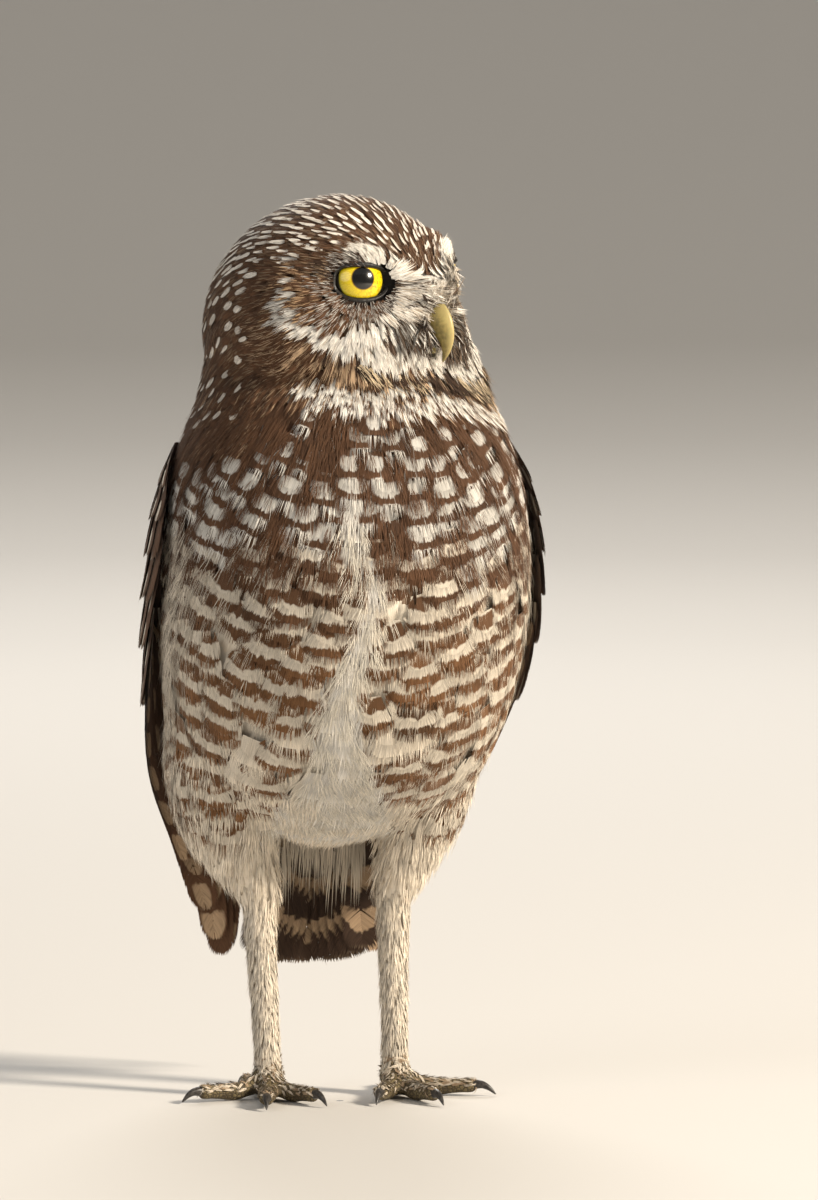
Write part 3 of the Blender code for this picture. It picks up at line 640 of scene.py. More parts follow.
def lie(places, out):
    """The way feathers point at each place, along the surface."""
    down = np.array([0.0, 0.0, -1.0])
    turn = body_turn(places)
    sideways = np.stack([np.cos(turn), np.sin(turn), np.zeros_like(turn)], 1)
    fan = 0.42 * np.tanh(turn * 3.0) * hill(np.abs(turn), 1.0, 0.85)
    fan *= steps(places[:, 2], 0.070, 0.100)
    body = down + sideways * fan[:, None]
    belly = steps(-places[:, 2], -0.085, -0.068) * steps(places[:, 2], 0.055, 0.062)
    body += np.array([0, 1.0, 0]) * (0.5 * belly)[:, None]

    around, up = head_angles(places)
    side = np.abs(around)
    head = unit(places - np.array(BILL_ROOT))
    below_brow = steps(along_rows(BROW_LINE, side) - up, 1.0, 5.0)
    for side_name, sign in SIDES:
        away = places - np.array(eye_places[side_name] + eye_axes(sign).col[2] * LID_SPHERE)
        reach = np.linalg.norm(away, axis=1)
        pull = 6.0 * steps(-reach, -0.032, -0.022) * below_brow
        pull += 1.2 * steps(-reach, -0.011, -0.009)
        pull *= 1 - 0.7 * steps(away[:, 2] / reach, 0.3, 0.7)
        head += unit(away) * pull[:, None]
    turned = np.radians(around)[:, None]
    aside = leftward * np.cos(turned) - forward * np.sin(turned)
    brow = hill(up, along_rows(BROW_LINE, side) - 3, 6)
    brow = brow * steps(side, 16, 34) * steps(-side, -72, -60)
    head = unit(head) + (aside * np.sign(around)[:, None] + down * 0.25) * (1.3 * brow)[:, None]
    nape = steps(side, 85, 140) * steps(-up, -60, 0)
    cheek = hill(side, 38, 16) * hill(up, -10, 9)
    head = unit(head) + down * (1.3 * nape + 1.5 * steps(-up, 14, 24))[:, None]
    head = head + forward * (0.7 * cheek)[:, None]

    share = steps(places[:, 2], 0.186, 0.199)[:, None]
    return along_surface(body * (1 - share) + head * share, out)


# ------------------------------------------------------------------ how a feather is made
# Each feather is two rows of barbs, narrow blades that lean on each other like tiles and part at
# their tips into a soft fringe. Stiff vanes carry them on a shaft, and in soft feathers they
# run side by side like combed hair.

PATCH = 0.003  # the size of a feather's patch on the skin's unwrap
WEB_DEPTH = 0.00006  # how far the web lies under the barbs
THREADS = 997  # the fine lines of this many barbs differ
WEB_THREADS = 4000  # fine lines in a metre across the web
THREAD_SCALE = 400
SHAFT_SIDES = np.array([-1.0, 1.0])[None, :, None]  # both sides of the shaft of every feather
# What a feather is like where its tract doesn't say otherwise. Shares along it: where its first
# barbs stand, how far a barb runs, where its tip begins, and how far its sides are straight. Then
# how blunt the tip is, how much the barbs fan and taper, the width, end and columns of the web,
# how ragged the tips are, how much strands differ in shade and feathers in height, how deep the
# root lies, and how far the sides curl down and each barb tilts.
HABIT = {
    "first": 0.18, "slant": 0.34, "shoulder": 0.62, "straight": 0.30, "blunt": 0.72, "fan": 0.0,
    "taper": 5.0, "web": 0.9, "web_end": 0.9, "web_columns": 5, "ragged": 0.3, "vary": 1.0,
    "uneven": 0.00012, "sink": 0.0002, "camber": 0.0, "tile": 0.0,
}


def outline(share, blunt, straight):
    """Across and along where the barbs of one side end, for shares from the root to the tip."""
    turn = np.clip((share - straight) / (1 - straight), 0, 1) * math.pi / 2
    along = np.sin(turn) ** blunt
    return np.cos(turn) ** blunt, along, np.minimum(share / straight, 1)


def feather_beds(roots, ways, lengths, widths, obey, follow, rows=5):
    """The form under each feather, in rows of three places, and the way out at each row.

    obey is how much a feather turns with the lie, and follow is how much it bends with the form.
    """
    beds, outs = np.empty((len(roots), rows, 3, 3)), np.empty((len(roots), rows, 3))
    follow = np.broadcast_to(follow, len(roots))[:, None]
    here, out = on_form(roots)
    way = along_surface(ways, out)
    stride = (lengths / (rows - 1))[:, None]
    for row in range(rows):
        across = np.cross(way, out) * (widths / 2)[:, None]
        beds[:, row, 1] = here
        for column, sign in ((0, -1), (2, 1)):
            free = here + across * sign
            beds[:, row, column] = free + (on_form(free)[0] - free) * follow
        outs[:, row] = out
        free = here + way * stride
        near, near_out = on_form(free)
        here = free + (near - free) * follow
        out = unit(out * (1 - follow) + near_out * follow)
        way = along_surface(way + obey * lie(here, out), out)
    return beds, outs


def on_beds(beds, outs, across, along, rise):
    """Places over the beds. across runs from -1 to 1 and along from 0 at the root to 1."""
    step = np.clip(along, 0, 0.9999) * (beds.shape[1] - 1)
    low = step.astype(int)
    part = (step - low + np.maximum(along - 1, 0) * (beds.shape[1] - 1))[..., None]
    pick = np.arange(len(beds)).reshape((-1,) + (1,) * (across.ndim - 1))
    a = across[..., None]

    def row_at(row):
        left, middle, right = (beds[pick, row, k] for k in range(3))
        return left * (a * a - a) / 2 + middle * (1 - a * a) + right * (a * a + a) / 2

    first, second = row_at(low), row_at(low + 1)
    out = outs[pick, low] * (1 - part) + outs[pick, low + 1] * part
    return first + (second - first) * part + out * rise[..., None]


def mesh_of(name, points, corners, maps, values):
    """A mesh of triangles, with UV maps by name and with values for each point by name."""
    made = bpy.data.meshes.new(name)
    made.vertices.add(len(points))
    made.vertices.foreach_set("co", points.ravel())
    made.loops.add(corners.size)
    made.loops.foreach_set("vertex_index", corners.ravel())
    made.polygons.add(len(corners))
    made.polygons.foreach_set("loop_start", np.arange(0, corners.size, 3))
    for title, places in maps.items():
        made.uv_layers.new(name=title).uv.foreach_set("vector", places[corners.ravel()].ravel())
    for title, data in values.items():
        kind, field = ("FLOAT", "value") if data.ndim == 1 else ("FLOAT_VECTOR", "vector")
        made.attributes.new(title, kind, "POINT").data.foreach_set(field, data.ravel())
    made.update(calc_edges=True)
    made.shade_smooth()
    return made


def per_feather(values, count, dimensions):
    """One value for each feather, shaped to meet an array with so many dimensions more."""
    return np.broadcast_to(values, count).reshape((count,) + (1,) * dimensions)


def rise_of(habit, across, along):
    """How far places on the feathers stand out of their beds."""
    sink, lift, camber, own = (
        per_feather(habit[key], len(across), across.ndim - 1)
        for key in ("sink", "lift", "camber", "own_rise")
    )
    rise = lift * along**2 - sink * np.clip(1 - along, 0, 1) ** 1.4
    return rise - camber * across**2 * along + own


def barb_lines(habit, shape, draw):
    """Where each barb starts and ends along its feather and how far aside its tip lies.

    The barbs end evenly along the outline: first up the sides, then round the tip. Those of the
    sides leave the shaft far below their ends. Barbs gather in locks that sway, and some stray.
    """
    count, _, barbs = shape
    loose = per_feather(habit["loose"], count, 2)
    share = (np.arange(barbs) + 0.5) / barbs + draw.uniform(-0.3, 0.3, shape) / barbs
    wide, climb, side_share = outline(np.clip(share, 0, 1), habit["blunt"], habit["straight"])
    first, shoulder, slant = (habit[key] for key in ("first", "shoulder", "slant"))
    end = first + slant + (shoulder - first - slant) * side_share + (1 - shoulder) * climb
    keep = min(1.0, 0.22 + 1.3 * habit["fan"])
    start = np.maximum(end - slant * (keep + (1 - keep) * wide), first * 0.6)
    lock = (np.arange(barbs) + draw.integers(0, 3, (count, 2, 1))) // 3
    sway = np.sin(lock * 2.4 + 6.3 * draw.random((count, 1, 1)))
    tip = SHAFT_SIDES * wide * (1 - 0.10 * loose * draw.random(shape)) + 0.07 * loose * sway
    tip = tip + draw.normal(0, 0.03, shape) * loose
    strays = draw.random(shape) < 0.16 * loose
    end = end + strays * draw.uniform(0.2, 0.9, shape) * slant * 0.5
    end = end + slant * loose * (0.06 * sway + draw.uniform(-habit["ragged"], 0.12, shape))
    return start, end, tip, sway, strays


def barbs_of(habit, beds, outs, draw):
    """The barbs as narrow blades: how far across and along their points lie, places and faces."""
    shape = (len(beds), 2, habit["barbs"])
    start, end, tip, sway, strays = barb_lines(habit, shape, draw)
    first, shoulder, slant, fan = (habit[key] for key in ("first", "shoulder", "slant", "fan"))
    t = np.array(habit["stations"])  # shares of the way along a barb
    across = tip[..., None] * (fan + (1 - fan) * (1 - (1 - t) ** 1.7))
    along = start[..., None] + (end - start)[..., None] * t**1.05
    half, full = (s[:, None, None, None] for s in (habit["width"] / 2, habit["length"]))
    run_across = tip[..., None] * (1 - fan) * 1.7 * (1 - np.minimum(t, 0.95)) ** 0.7 * half
    run_along = (end - start)[..., None] * full
    run = np.maximum(np.hypot(run_across, run_along), 1e-9)
    ring = abs(shoulder - first - slant) * full + 1.25 * np.hypot(half, (1 - shoulder) * full)
    slim = (1 - t ** habit["taper"]) * (0.62 + 0.38 * np.sin(np.clip(t, 0, 0.8) * 3.9))
    blade = ring / habit["barbs"] * habit["blade"] * slim * (1 - 0.45 * strays[..., None])
    edge = np.array([-1.0, 1.0])
    across = across[..., None] - edge * (blade * run_along / run / half)[..., None]
    along = along[..., None] + edge * (blade * run_across / run / full)[..., None]
    loose = per_feather(habit["loose"], len(beds), 2)
    flutter = draw.normal(0, habit["flutter"], shape) * (1 + 1.5 * strays)
    flutter = flutter + habit["flutter"] * 0.8 * loose * sway + habit["flutter"] * strays
    rise = rise_of(habit, across, along) + habit["tile"] * edge * SHAFT_SIDES[..., None, None]
    rise = rise + flutter[..., None, None] * (t**1.5)[:, None] * (0.3 + loose[..., None, None])
    points = on_beds(beds, outs, across, along, rise)

    # Two edges at each station but the last, which is one point.
    last = len(t) - 1

    def by_point(values):
        stem = values[:, :, :, :last].reshape(shape + (last * 2,) + values.shape[5:])
        return np.concatenate([stem, values[:, :, :, last:].mean(4)], 3)

    faces = []
    for k in range(0, 2 * last - 2, 2):
        faces += [(k + 1, k, k + 2), (k + 1, k + 2, k + 3)]
    faces.append((2 * last - 1, 2 * last - 2, 2 * last))
    starts = np.arange(math.prod(shape)) * (2 * last + 1)
    corners = (starts[:, None, None] + np.array(faces)).reshape(-1, 3)
    return by_point(across), by_point(along), by_point(points), corners


def web_of(habit, beds, outs):
    """The thin web under the barbs, with the outline of the feather, where barbs are knit."""
    first, shoulder, web_end = habit["first"], habit["shoulder"], habit["web_end"]
    rows, columns = beds.shape[1] + 1, habit["web_columns"]
    down = first + (web_end - first) * np.linspace(0, 1, rows)
    narrow = np.minimum(0.55 + 0.9 * (down - first), 1)
    beyond = np.clip((down - shoulder) / (web_end + 0.015 - shoulder), 0, 1)
    wide = habit["web"] * narrow * np.sqrt(1 - beyond**2.4)
    shape = (len(beds), rows, columns)
    across = np.broadcast_to(wide[:, None] * np.linspace(-1, 1, columns), shape)
    along = np.broadcast_to(down[:, None], shape)
    points = on_beds(beds, outs, across, along, rise_of(habit, across, along) - WEB_DEPTH)
    grid = np.arange(rows * columns).reshape(rows, columns)
    a, b, c, d = grid[:-1, :-1], grid[:-1, 1:], grid[1:, 1:], grid[1:, :-1]
    faces = np.stack([a, d, c, a, c, b], -1).reshape(-1, 3)
    starts = np.arange(len(beds)) * rows * columns
    return across, along, points, (starts[:, None, None] + faces).reshape(-1, 3)


def feather_mesh(name, beds, outs, tract, draw):
    """All the feathers of a tract as one mesh. The tract says how long, wide and loose each is."""
    habit = {**HABIT, **tract}
    length, width, feathers = habit["length"], habit["width"], np.arange(len(beds))
    habit["own_rise"] = draw.uniform(-1, 1, len(beds)) * habit["uneven"]
    barb_across, barb_along, barbs, corners = barbs_of(habit, beds, outs, draw)
    web_across, web_along, web, web_corners = web_of(habit, beds, outs)

    def joined(of_barbs, of_web):
        """Values at the points of the barbs and then at those of the web."""
        of_barbs = np.broadcast_to(of_barbs, barb_across.shape)
        of_web = np.broadcast_to(of_web, web_across.shape)
        return np.concatenate([of_barbs.ravel(), of_web.ravel()])

    shape, per_barb = barb_across.shape[:3], barb_across.shape[3]
    of_edge = np.array([-0.5, 0.5] * (per_barb // 2) + [0.0])
    thread = np.arange(math.prod(shape)).reshape(shape)[..., None] % THREADS + of_edge
    web_thread = feathers[:, None, None] + web_across * width[:, None, None] * WEB_THREADS
    strand = 0.5 + habit["vary"] * (draw.random(shape) - 0.5)
    owner = joined(feathers[:, None, None, None], feathers[:, None, None])
    across, along = joined(barb_across, web_across), joined(barb_along, web_along)
    seen = 1 - (1 - along) * (length / habit["pitch"])[owner]
    spot = bake_places(beds[:, 0, 1])[owner]
    web = web.reshape(-1, 3)
    values = {key: tract[key][owner] for key in ("ground", "mark", "marks", "mixed")}
    values["strand"] = joined(strand[..., None], 0.5)
    if "over" in tract:
        tips = np.repeat(barbs[:, :, :, -1].reshape(-1, 3), per_barb, 0)
        dyed, colour = tract["over"](np.concatenate([tips, web]), draw, owner)
        values["ground"][dyed] = values["mark"][dyed] = np.array(colour)
    maps = {
        "OFBake": spot + np.stack([across / 2, along - 0.5], -1) * PATCH,
        "vane": np.stack([across, seen], -1),
        "hair": np.stack([joined(thread, web_thread), along * (length * THREAD_SCALE)[owner]], -1),
    }
    points = np.concatenate([barbs.reshape(-1, 3), web])
    corners = np.concatenate([corners, web_corners + barb_across.size])
    return mesh_of(name, points, corners, maps, values)


laid = []  # every tract of small feathers, for the dye of the skin under it


def coat(name, tract, finish, slot, seed, *nodes):
    """Lays a tract of small feathers over the form and shows it as one piece."""
    draw = np.random.default_rng(seed)
    count = len(tract["root"])
    plain = {"marks": np.zeros((count, 3)), "mixed": np.zeros(count), "obey": 0.6, "follow": 1.0}
    tract = {**plain, **tract}
    beds, outs = feather_beds(
        *(tract[key] for key in ("root", "way", "length", "width", "obey", "follow"))
    )
    tract["beds"] = beds
    laid.append(tract)
    mesh = feather_mesh(name, beds, outs, tract, draw)
    return piece_of(name, mesh, finish, slot, *nodes)


def tree_of(places):
    """The places, sorted so that those near a point are found fast."""
    tree = KDTree(len(places))
    for i, place in enumerate(places.tolist()):
        tree.insert(place, i)
    tree.balance()
    return tree


def scatter(candidates, spacing, draw, ways=None, stretch=1.0):
    """Picks places so that none lies nearer to another than its spacing.

    Along the ways, if they are given, the spacing is stretched.
    """
    tree, spacing = tree_of(candidates), np.broadcast_to(spacing, len(candidates))
    free, chosen = np.ones(len(candidates), bool), []
    for i in draw.permutation(len(candidates)):
        if free[i]:
            chosen.append(i)
            near = tree.find_range(candidates[i], spacing[i] * stretch)
            found = np.array([j for _, j, _ in near])
            if ways is not None:
                apart = candidates[found] - candidates[i]
                along = apart @ ways[i]
                aside = np.sum(apart**2, 1) - along**2
                found = found[aside + (along / stretch) ** 2 < spacing[i] ** 2]
            free[found] = False
    return np.array(sorted(chosen))


# ------------------------------------------------------------------ the dye of the feathers
# Each feather has a ground colour and the colour of its marks. The marks are a pale patch with a
# notch, as wide as the feather says, a bar across the vane or a streak along the shaft. Feathers
# are darker towards their roots, partly for their grey downy bases and partly as painted shade
# where each lies under the feathers above it.

def feather_finish():
    fixed = {"Specular IOR Level": 0.18, "Sheen Weight": 0.10, "Sheen Roughness": 0.5}
    material, paint, shader = new_finish("plumage", fixed)
    across, seen, _ = paint.parts(paint.node("ShaderNodeUVMap", {"uv_map": "vane"}))
    thread, down, _ = paint.parts(paint.node("ShaderNodeUVMap", {"uv_map": "hair"}))
    strand = paint.attribute("strand")
    wobble = paint.noise(paint.place(), 420.0) - 0.5
    aside = abs(across)
    bands = seen - paint.math("FLOOR", seen - 0.001)
    bend = 0.26 * aside * aside + 0.34 * wobble + 0.10 * (strand - 0.5)
    bent = bands + bend

    spots, bars, streaks = paint.parts(paint.attribute("marks", "Vector"))
    wide = spots.at_least(0.02) * 0.86
    patch = (aside / wide) ** 2.6 + (abs(bent - 0.61) / 0.36) ** 2.6
    notch = (1.0 - aside / 0.06).smooth(0.0, 1.0) * bent.smooth(0.66, 0.90)
    spot = (1.0 - patch - notch).smooth(-0.30, 0.40) * spots.smooth(0.02, 0.10)
    point = 0.07 * (1.0 - aside / 0.10).smooth(0.0, 1.0)
    off_bar = abs(paint.math("FRACT", seen + bend + 1.22 - point) - 0.5)
    half_bar = 0.145 + 0.17 * bars - 0.16 * aside * aside
    bar = (half_bar - off_bar).smooth(-0.05, 0.05) * bars.smooth(0.02, 0.10)
    drop = (across / 0.36) ** 2.0 + ((bands - 0.56) / 0.42) ** 2.0
    streak = (1.0 - drop).smooth(-0.1, 0.25) * streaks
    mixed = paint.attribute("mixed")
    strands = (strand + mixed).smooth(0.98, 1.02)
    marked = spot.at_least(bar).at_least(streak).at_least(strands)

    dyed = marked.blend(paint.attribute("ground", "Color"), paint.attribute("mark", "Color"))
    fringe = seen.smooth(0.84, 1.02) * 0.22
    dyed = fringe.blend(dyed, (0.62, 0.47, 0.32, 1))
    thread_place = paint.node("ShaderNodeCombineXYZ", None, {"X": thread * 2.2, "Y": down * 0.35})
    lines = paint.noise(thread_place, 1.0, 3.0)
    # Darker towards the root: partly a feather's grey downy base, partly painted shade under the
    # feathers above.
    root = 0.72 + 0.28 * seen.smooth(-0.35, 0.40)
    shade = (1.22 - 0.30 * strand - 0.36 * lines.smooth(0.38, 0.70)) * root
    shaded = paint.node("ShaderNodeVectorMath", {"operation": "SCALE"}, {0: dyed, "Scale": shade})
    shaded.into(shader, "Base Color")
    (0.60 + 0.25 * lines).into(shader, "Roughness")
    lines.bump(0.6, 0.00015).into(shader, "Normal")
    return material


plumage = feather_finish()


# ------------------------------------------------------------------ feathers of the body
# Breast, flanks, belly and back are rows of broad soft feathers that overlap like tiles. The
# upper breast is brown with paired white lobes, and the rest is cream with brown bars.

BROWN = np.array((0.115, 0.056, 0.028))
DARK_BROWN = np.array((0.050, 0.027, 0.016))
RUFOUS = np.array((0.230, 0.110, 0.045))
CREAM = np.array((0.84, 0.75, 0.62))
WHITE = np.array((0.88, 0.84, 0.77))
BUFF = np.array((0.50, 0.35, 0.22))
ROW_PITCH = ((0.060, 0.0076), (0.120, 0.0074), (0.150, 0.0068), (0.178, 0.0062), (0.205, 0.0058))
COLUMNS = 28
CAST_FROM = 0.09  # how far from the body's axis the search for its surface starts
CAST_DEPTH = 0.088
TOP_ROW = 0.2035
BODY_END = 0.073  # the height where the belly ends between the legs
BREAST_BARS = 0.149  # the height where the spots of the upper breast turn into bars
NECK_FROM = 0.178  # the height above which the feathers of the neck belong to the head
BACK_FROM = 112  # where the back begins, in degrees round the body
# The pale line down the middle of the front: height, and how far to the left it runs.
PARTING = ((0.104, -0.012), (0.115, -0.008), (0.128, -0.003), (0.139, 0.0), (0.152, -0.008),
           (0.171, -0.0065))
PARTING_WIDTH = 0.0022
# The white wedge of the belly: height and half width, and height and how far left its middle is.
WEDGE = ((0.070, 0.017), (0.080, 0.013), (0.090, 0.0085), (0.100, 0.0055), (0.112, 0.0040),
         (0.140, 0.0005))
WEDGE_LINE = ((0.070, -0.002), (0.085, -0.005), (0.105, -0.009), (0.115, -0.0075),
              (0.128, -0.003), (0.140, 0.0))
# The front and back edges of the folded wings: height, and degrees round the body.
WING_FRONT = ((0.034, 138), (0.058, 128), (0.084, 107), (0.110, 92), (0.150, 80), (0.178, 94))
WING_BACK = ((0.034, 153), (0.058, 159), (0.084, 168), (0.110, 168), (0.150, 154), (0.178, 128))
WING_TOP = 0.172


def cast_inwards(turns, heights):
    """Places on the form, found from outside at each turn round the body's axis and height."""
    found = np.full((len(turns), 3), np.nan)
    middles = along_rows(BODY_LINE, heights)
    for i, (turn, height, middle) in enumerate(zip(turns, heights, middles)):
        out = Vector((math.sin(turn), -math.cos(turn), 0))
        start = Vector((0, middle, height)) + out * CAST_FROM
        hit = form_tree.ray_cast(start, -out, CAST_DEPTH)[0]
        if hit is not None:
            found[i] = hit
    return found


def body_places(draw):
    """The roots of the body's feathers, in rows that sag towards the sides."""
    heights, turns = [], []
    height, row = TOP_ROW, 0
    while height > BODY_END:
        column = np.arange(COLUMNS) + 0.5 * (row % 2)
        turns.append(2 * math.pi * column / COLUMNS - math.pi)
        heights.append(np.full(COLUMNS, height))
        height -= float(along_rows(ROW_PITCH, height))
        row += 1
    turns, heights = np.concatenate(turns), np.concatenate(heights)
    aside = np.minimum(np.abs(turns) / 1.3, 1.4)
    low = steps(-heights, -0.185, -0.160)
    heights = heights + low * (0.011 * aside**1.6 + 0.002 * hill(turns, 0, 0.14))
    turns = turns + draw.normal(0, 0.24 * 2 * math.pi / COLUMNS, len(turns))
    heights = heights + draw.normal(0, 0.0009, len(heights))
    return cast_inwards(turns, heights)


def under_wing(places, slack):
    """Whether a wing hides each place, by more than some degrees."""
    turn = degrees_round(places)
    front, back = along_rows(WING_FRONT, places[:, 2]), along_rows(WING_BACK, places[:, 2])
    return (places[:, 2] < WING_TOP) & (turn > front + slack) & (turn < back - slack)


draw = np.random.default_rng(11)
places = body_places(draw)
places = places[~np.isnan(places[:, 0])]
around, up = head_angles(places)
neck = (places[:, 2] > NECK_FROM) & (up > -13 - 25 * steps(np.abs(around), 80, 100))
places = places[~neck]
places = places[~under_wing(places, 12.0)]


def in_wedge(height, aside):
    """How far inside the white wedge a place lies, less than nothing if it lies outside."""
    return along_rows(WEDGE, height) - np.abs(aside - along_rows(WEDGE_LINE, height))


def parting_line(height):
    """How far to the left the pale line runs at each height. It winds a little."""
    return along_rows(PARTING, height) + 0.0010 * np.sin(height * 900)


def pale_middle(places, draw, owner):
    """Which barbs lie in the pale parting of the breast or in the white wedge of the belly."""
    height, aside = places[:, 2], places[:, 0]
    front = degrees_round(places) < 70
    parting = hill(aside, parting_line(height), PARTING_WIDTH)
    parting = parting * steps(height, 0.098, 0.108) * steps(-height, -0.168, -0.156)
    wedge = steps(in_wedge(height, aside), -0.002, 0.002)
    wedge = wedge * steps(-height, -0.142, -0.136)
    luck = 0.35 + 0.3 * draw.random(owner.max() + 1)[owner] + draw.uniform(-0.3, 0.3, len(places))
    return front & (np.maximum(parting, wedge) > luck), WHITE


def body_paint(places, ways, lengths, draw):
    """The colours and marks of feathers of the body, from where their tips lie."""
    seen = places + ways * (lengths * 0.75)[:, None]
    height, turn = seen[:, 2], degrees_round(seen)
    count = len(places)
    luck, shade = draw.random(count), draw.normal(1, 0.12, count)
    barred = (height < BREAST_BARS + 0.004 * draw.normal(0, 1, count)) & (turn < BACK_FROM)
    back = turn > BACK_FROM

    ground = BROWN * shade[:, None]
    mark = WHITE * draw.uniform(0.82, 1.02, (count, 1))
    marks = np.zeros((count, 3))
    mixed = np.full(count, 0.03)
    high = steps(height, 0.158, 0.172)
    marks[:, 0] = draw.uniform(0.80, 1.0, count) - 0.36 * high
    marks[back, 0] = draw.uniform(0.30, 0.60, back.sum())
    marks[:, 0] *= luck < 0.95 - 0.17 * high
    marks[:, 0] *= (height < 0.184) | (turn < 75)
    marks[:, 0] *= head_angles(places)[1] < -25
    mark[back] = (CREAM * draw.uniform(0.5, 0.9, (count, 1)))[back]

    ground[barred] = CREAM * draw.normal(1, 0.05, (barred.sum(), 1))
    low = steps(-height, -0.150, -0.100)[:, None]
    bar_colour = BROWN * (1 - low) + RUFOUS * (0.9 * low)
    mark[barred] = (bar_colour * draw.normal(1.0, 0.14, (count, 1)))[barred]
    marks[barred, 0] = 0.0
    marks[barred, 1] = draw.uniform(0.8, 1.1, barred.sum())
    few = barred & (height < 0.100) & (luck < 0.25) & (turn < 60)
    marks[few, 1] = 0.0
    mixed[barred] = 0.0
    return {"ground": ground, "mark": mark, "marks": marks, "mixed": mixed}


SPOT_REACH = 0.0042
spot_middles = []  # where the white spots of the breast lie


def body_coat(name, places, seed, *nodes):
    draw = np.random.default_rng(seed)
    count = len(places)
    _, out = on_form(places)
    ways = ruffled(lie(places, out), out, 0.12, draw)
    pitch = along_rows(ROW_PITCH, places[:, 2])
    length = pitch * 2.15 * draw.uniform(0.95, 1.08, count)
    low = steps(-places[:, 2], -0.100, -0.080)
    length = length * (1 + 0.30 * low)
    covered = steps(head_angles(places)[1], -27, -20) * (places[:, 2] > NECK_FROM)
    width = pitch * 1.90 * draw.uniform(0.90, 1.08, count)
    tract = {
        "root": places, "way": ways, "length": length, "width": width, "pitch": pitch * 1.05,
        "sink": 0.0009 + 0.0004 * low, "lift": 0.0001 + 0.0006 * low - 0.0007 * covered,
        "camber": 0.0003, "barbs": 60, "uneven": 0.00006,
        "loose": 0.55 + 0.45 * low, "stations": (0, 0.45, 0.8, 1), "blade": 0.52,
        "tile": 0.00002, "flutter": 0.00013, "follow": 1.0 - 0.25 * low, "slant": 0.60,
        "straight": 0.20, "shoulder": 0.56, "first": 0.02, "fan": 0.62, "taper": 3.0, "blunt": 0.78,
        "web": 0.74, "web_end": 0.64, "ragged": 0.9, "over": pale_middle,
    }
    tract.update(body_paint(places, ways, length, draw))
    spotted = tract["marks"][:, 0] > 0.2
    seen_middle = (length - 0.42 * pitch)[:, None]
    spot_middles.append((places + ways * seen_middle)[spotted])
    return coat(name, tract, plumage, "barred_plumage", seed, *nodes)


below = places[:, 2] < 0.135
body_coat("coat_breast", places[~below], 21, "torso", "neck")
body_coat("coat_belly", places[below], 22, "torso")


# ------------------------------------------------------------------ fine hairs of the body
# Thin loose barbs come through the feathers. Some lie over the bars of the breast and more stand
# out along the flanks. White ones hang from the pale line and the end of the belly.

def hairs(name, seed, roots, ways, stand, long, wide, colour, slot, nodes):
    """Lays bundles of three loose barbs. stand is how far each stands out of the coat."""
    draw = np.random.default_rng(seed)
    count = len(roots)
    _, out = on_form(roots)
    ways = unit(along_surface(ways + draw.normal(0, 0.09, (count, 3)), out) + out * stand[:, None])
    length = long * draw.uniform(0.6, 1.2, count)
    ground = colour * draw.uniform(0.75, 1.05, (count, 1))
    return coat(name, {
        "root": roots, "way": ways, "length": length, "width": np.full(count, 0.0020),
        "pitch": length, "lift": 0.0003, "barbs": 3, "loose": 1.0, "stations": (0, 0.35, 0.7, 1),
        "blade": wide, "flutter": 0.0002, "slant": 0.80, "first": 0.0,
        "follow": 0.8 - 0.5 * np.minimum(stand, 1), "obey": 0.0, "fan": 0.3, "taper": 2.5,
        "web": 0.0, "web_end": 0.1, "web_columns": 2, "ground": ground, "mark": ground,
    }, plumage, slot, seed, *nodes)


def near_wing(places):
    """1 at the front edge of a wing, falling to 0 ahead of it."""
    ahead = along_rows(WING_FRONT, places[:, 2]) - degrees_round(places)
    return steps(-ahead, -26, -6)


def outwards(ways, roots, out, amount):
    """The ways, turned away from the middle of the breast."""
    level = np.cross(np.array([0, 0, 1.0]), out)
    return ways + level * (np.sign(body_turn(roots)) * amount)[:, None]


draw = np.random.default_rng(23)
form_heights, form_turns = form_points[:, 2], degrees_round(form_points)
haired = (form_heights > 0.082) & (form_heights < 0.160) & (form_turns < BACK_FROM)
candidates = form_points[haired & ~under_wing(form_points, 0.0)]
candidates = candidates[draw.random(len(candidates)) < 0.08 + 0.92 * near_wing(candidates)]
roots = candidates[np.sort(draw.choice(len(candidates), 560, replace=False))]
_, out = on_form(roots)
ways = outwards(lie(roots, out), roots, out, 0.15)
stand = 0.03 + 0.85 * near_wing(roots) * draw.random(len(roots))
hairs("body_hairs", 24, roots, ways, stand, long=0.0115, wide=0.024, colour=CREAM * 0.85,
      slot="barred_plumage", nodes=("torso", "neck"))

# Long ones stand out over the front edges of the wings.
edge = candidates[near_wing(candidates) > 0.75]
roots = edge[np.sort(draw.permutation(len(edge))[:230])]
_, out = on_form(roots)
ways = outwards(lie(roots, out), roots, out, 0.5)
stand = draw.uniform(0.3, 1.1, len(roots))
hairs("flank_hairs", 29, roots, ways, stand, long=0.0140, wide=0.040, colour=CREAM,
      slot="barred_plumage", nodes=("torso",))

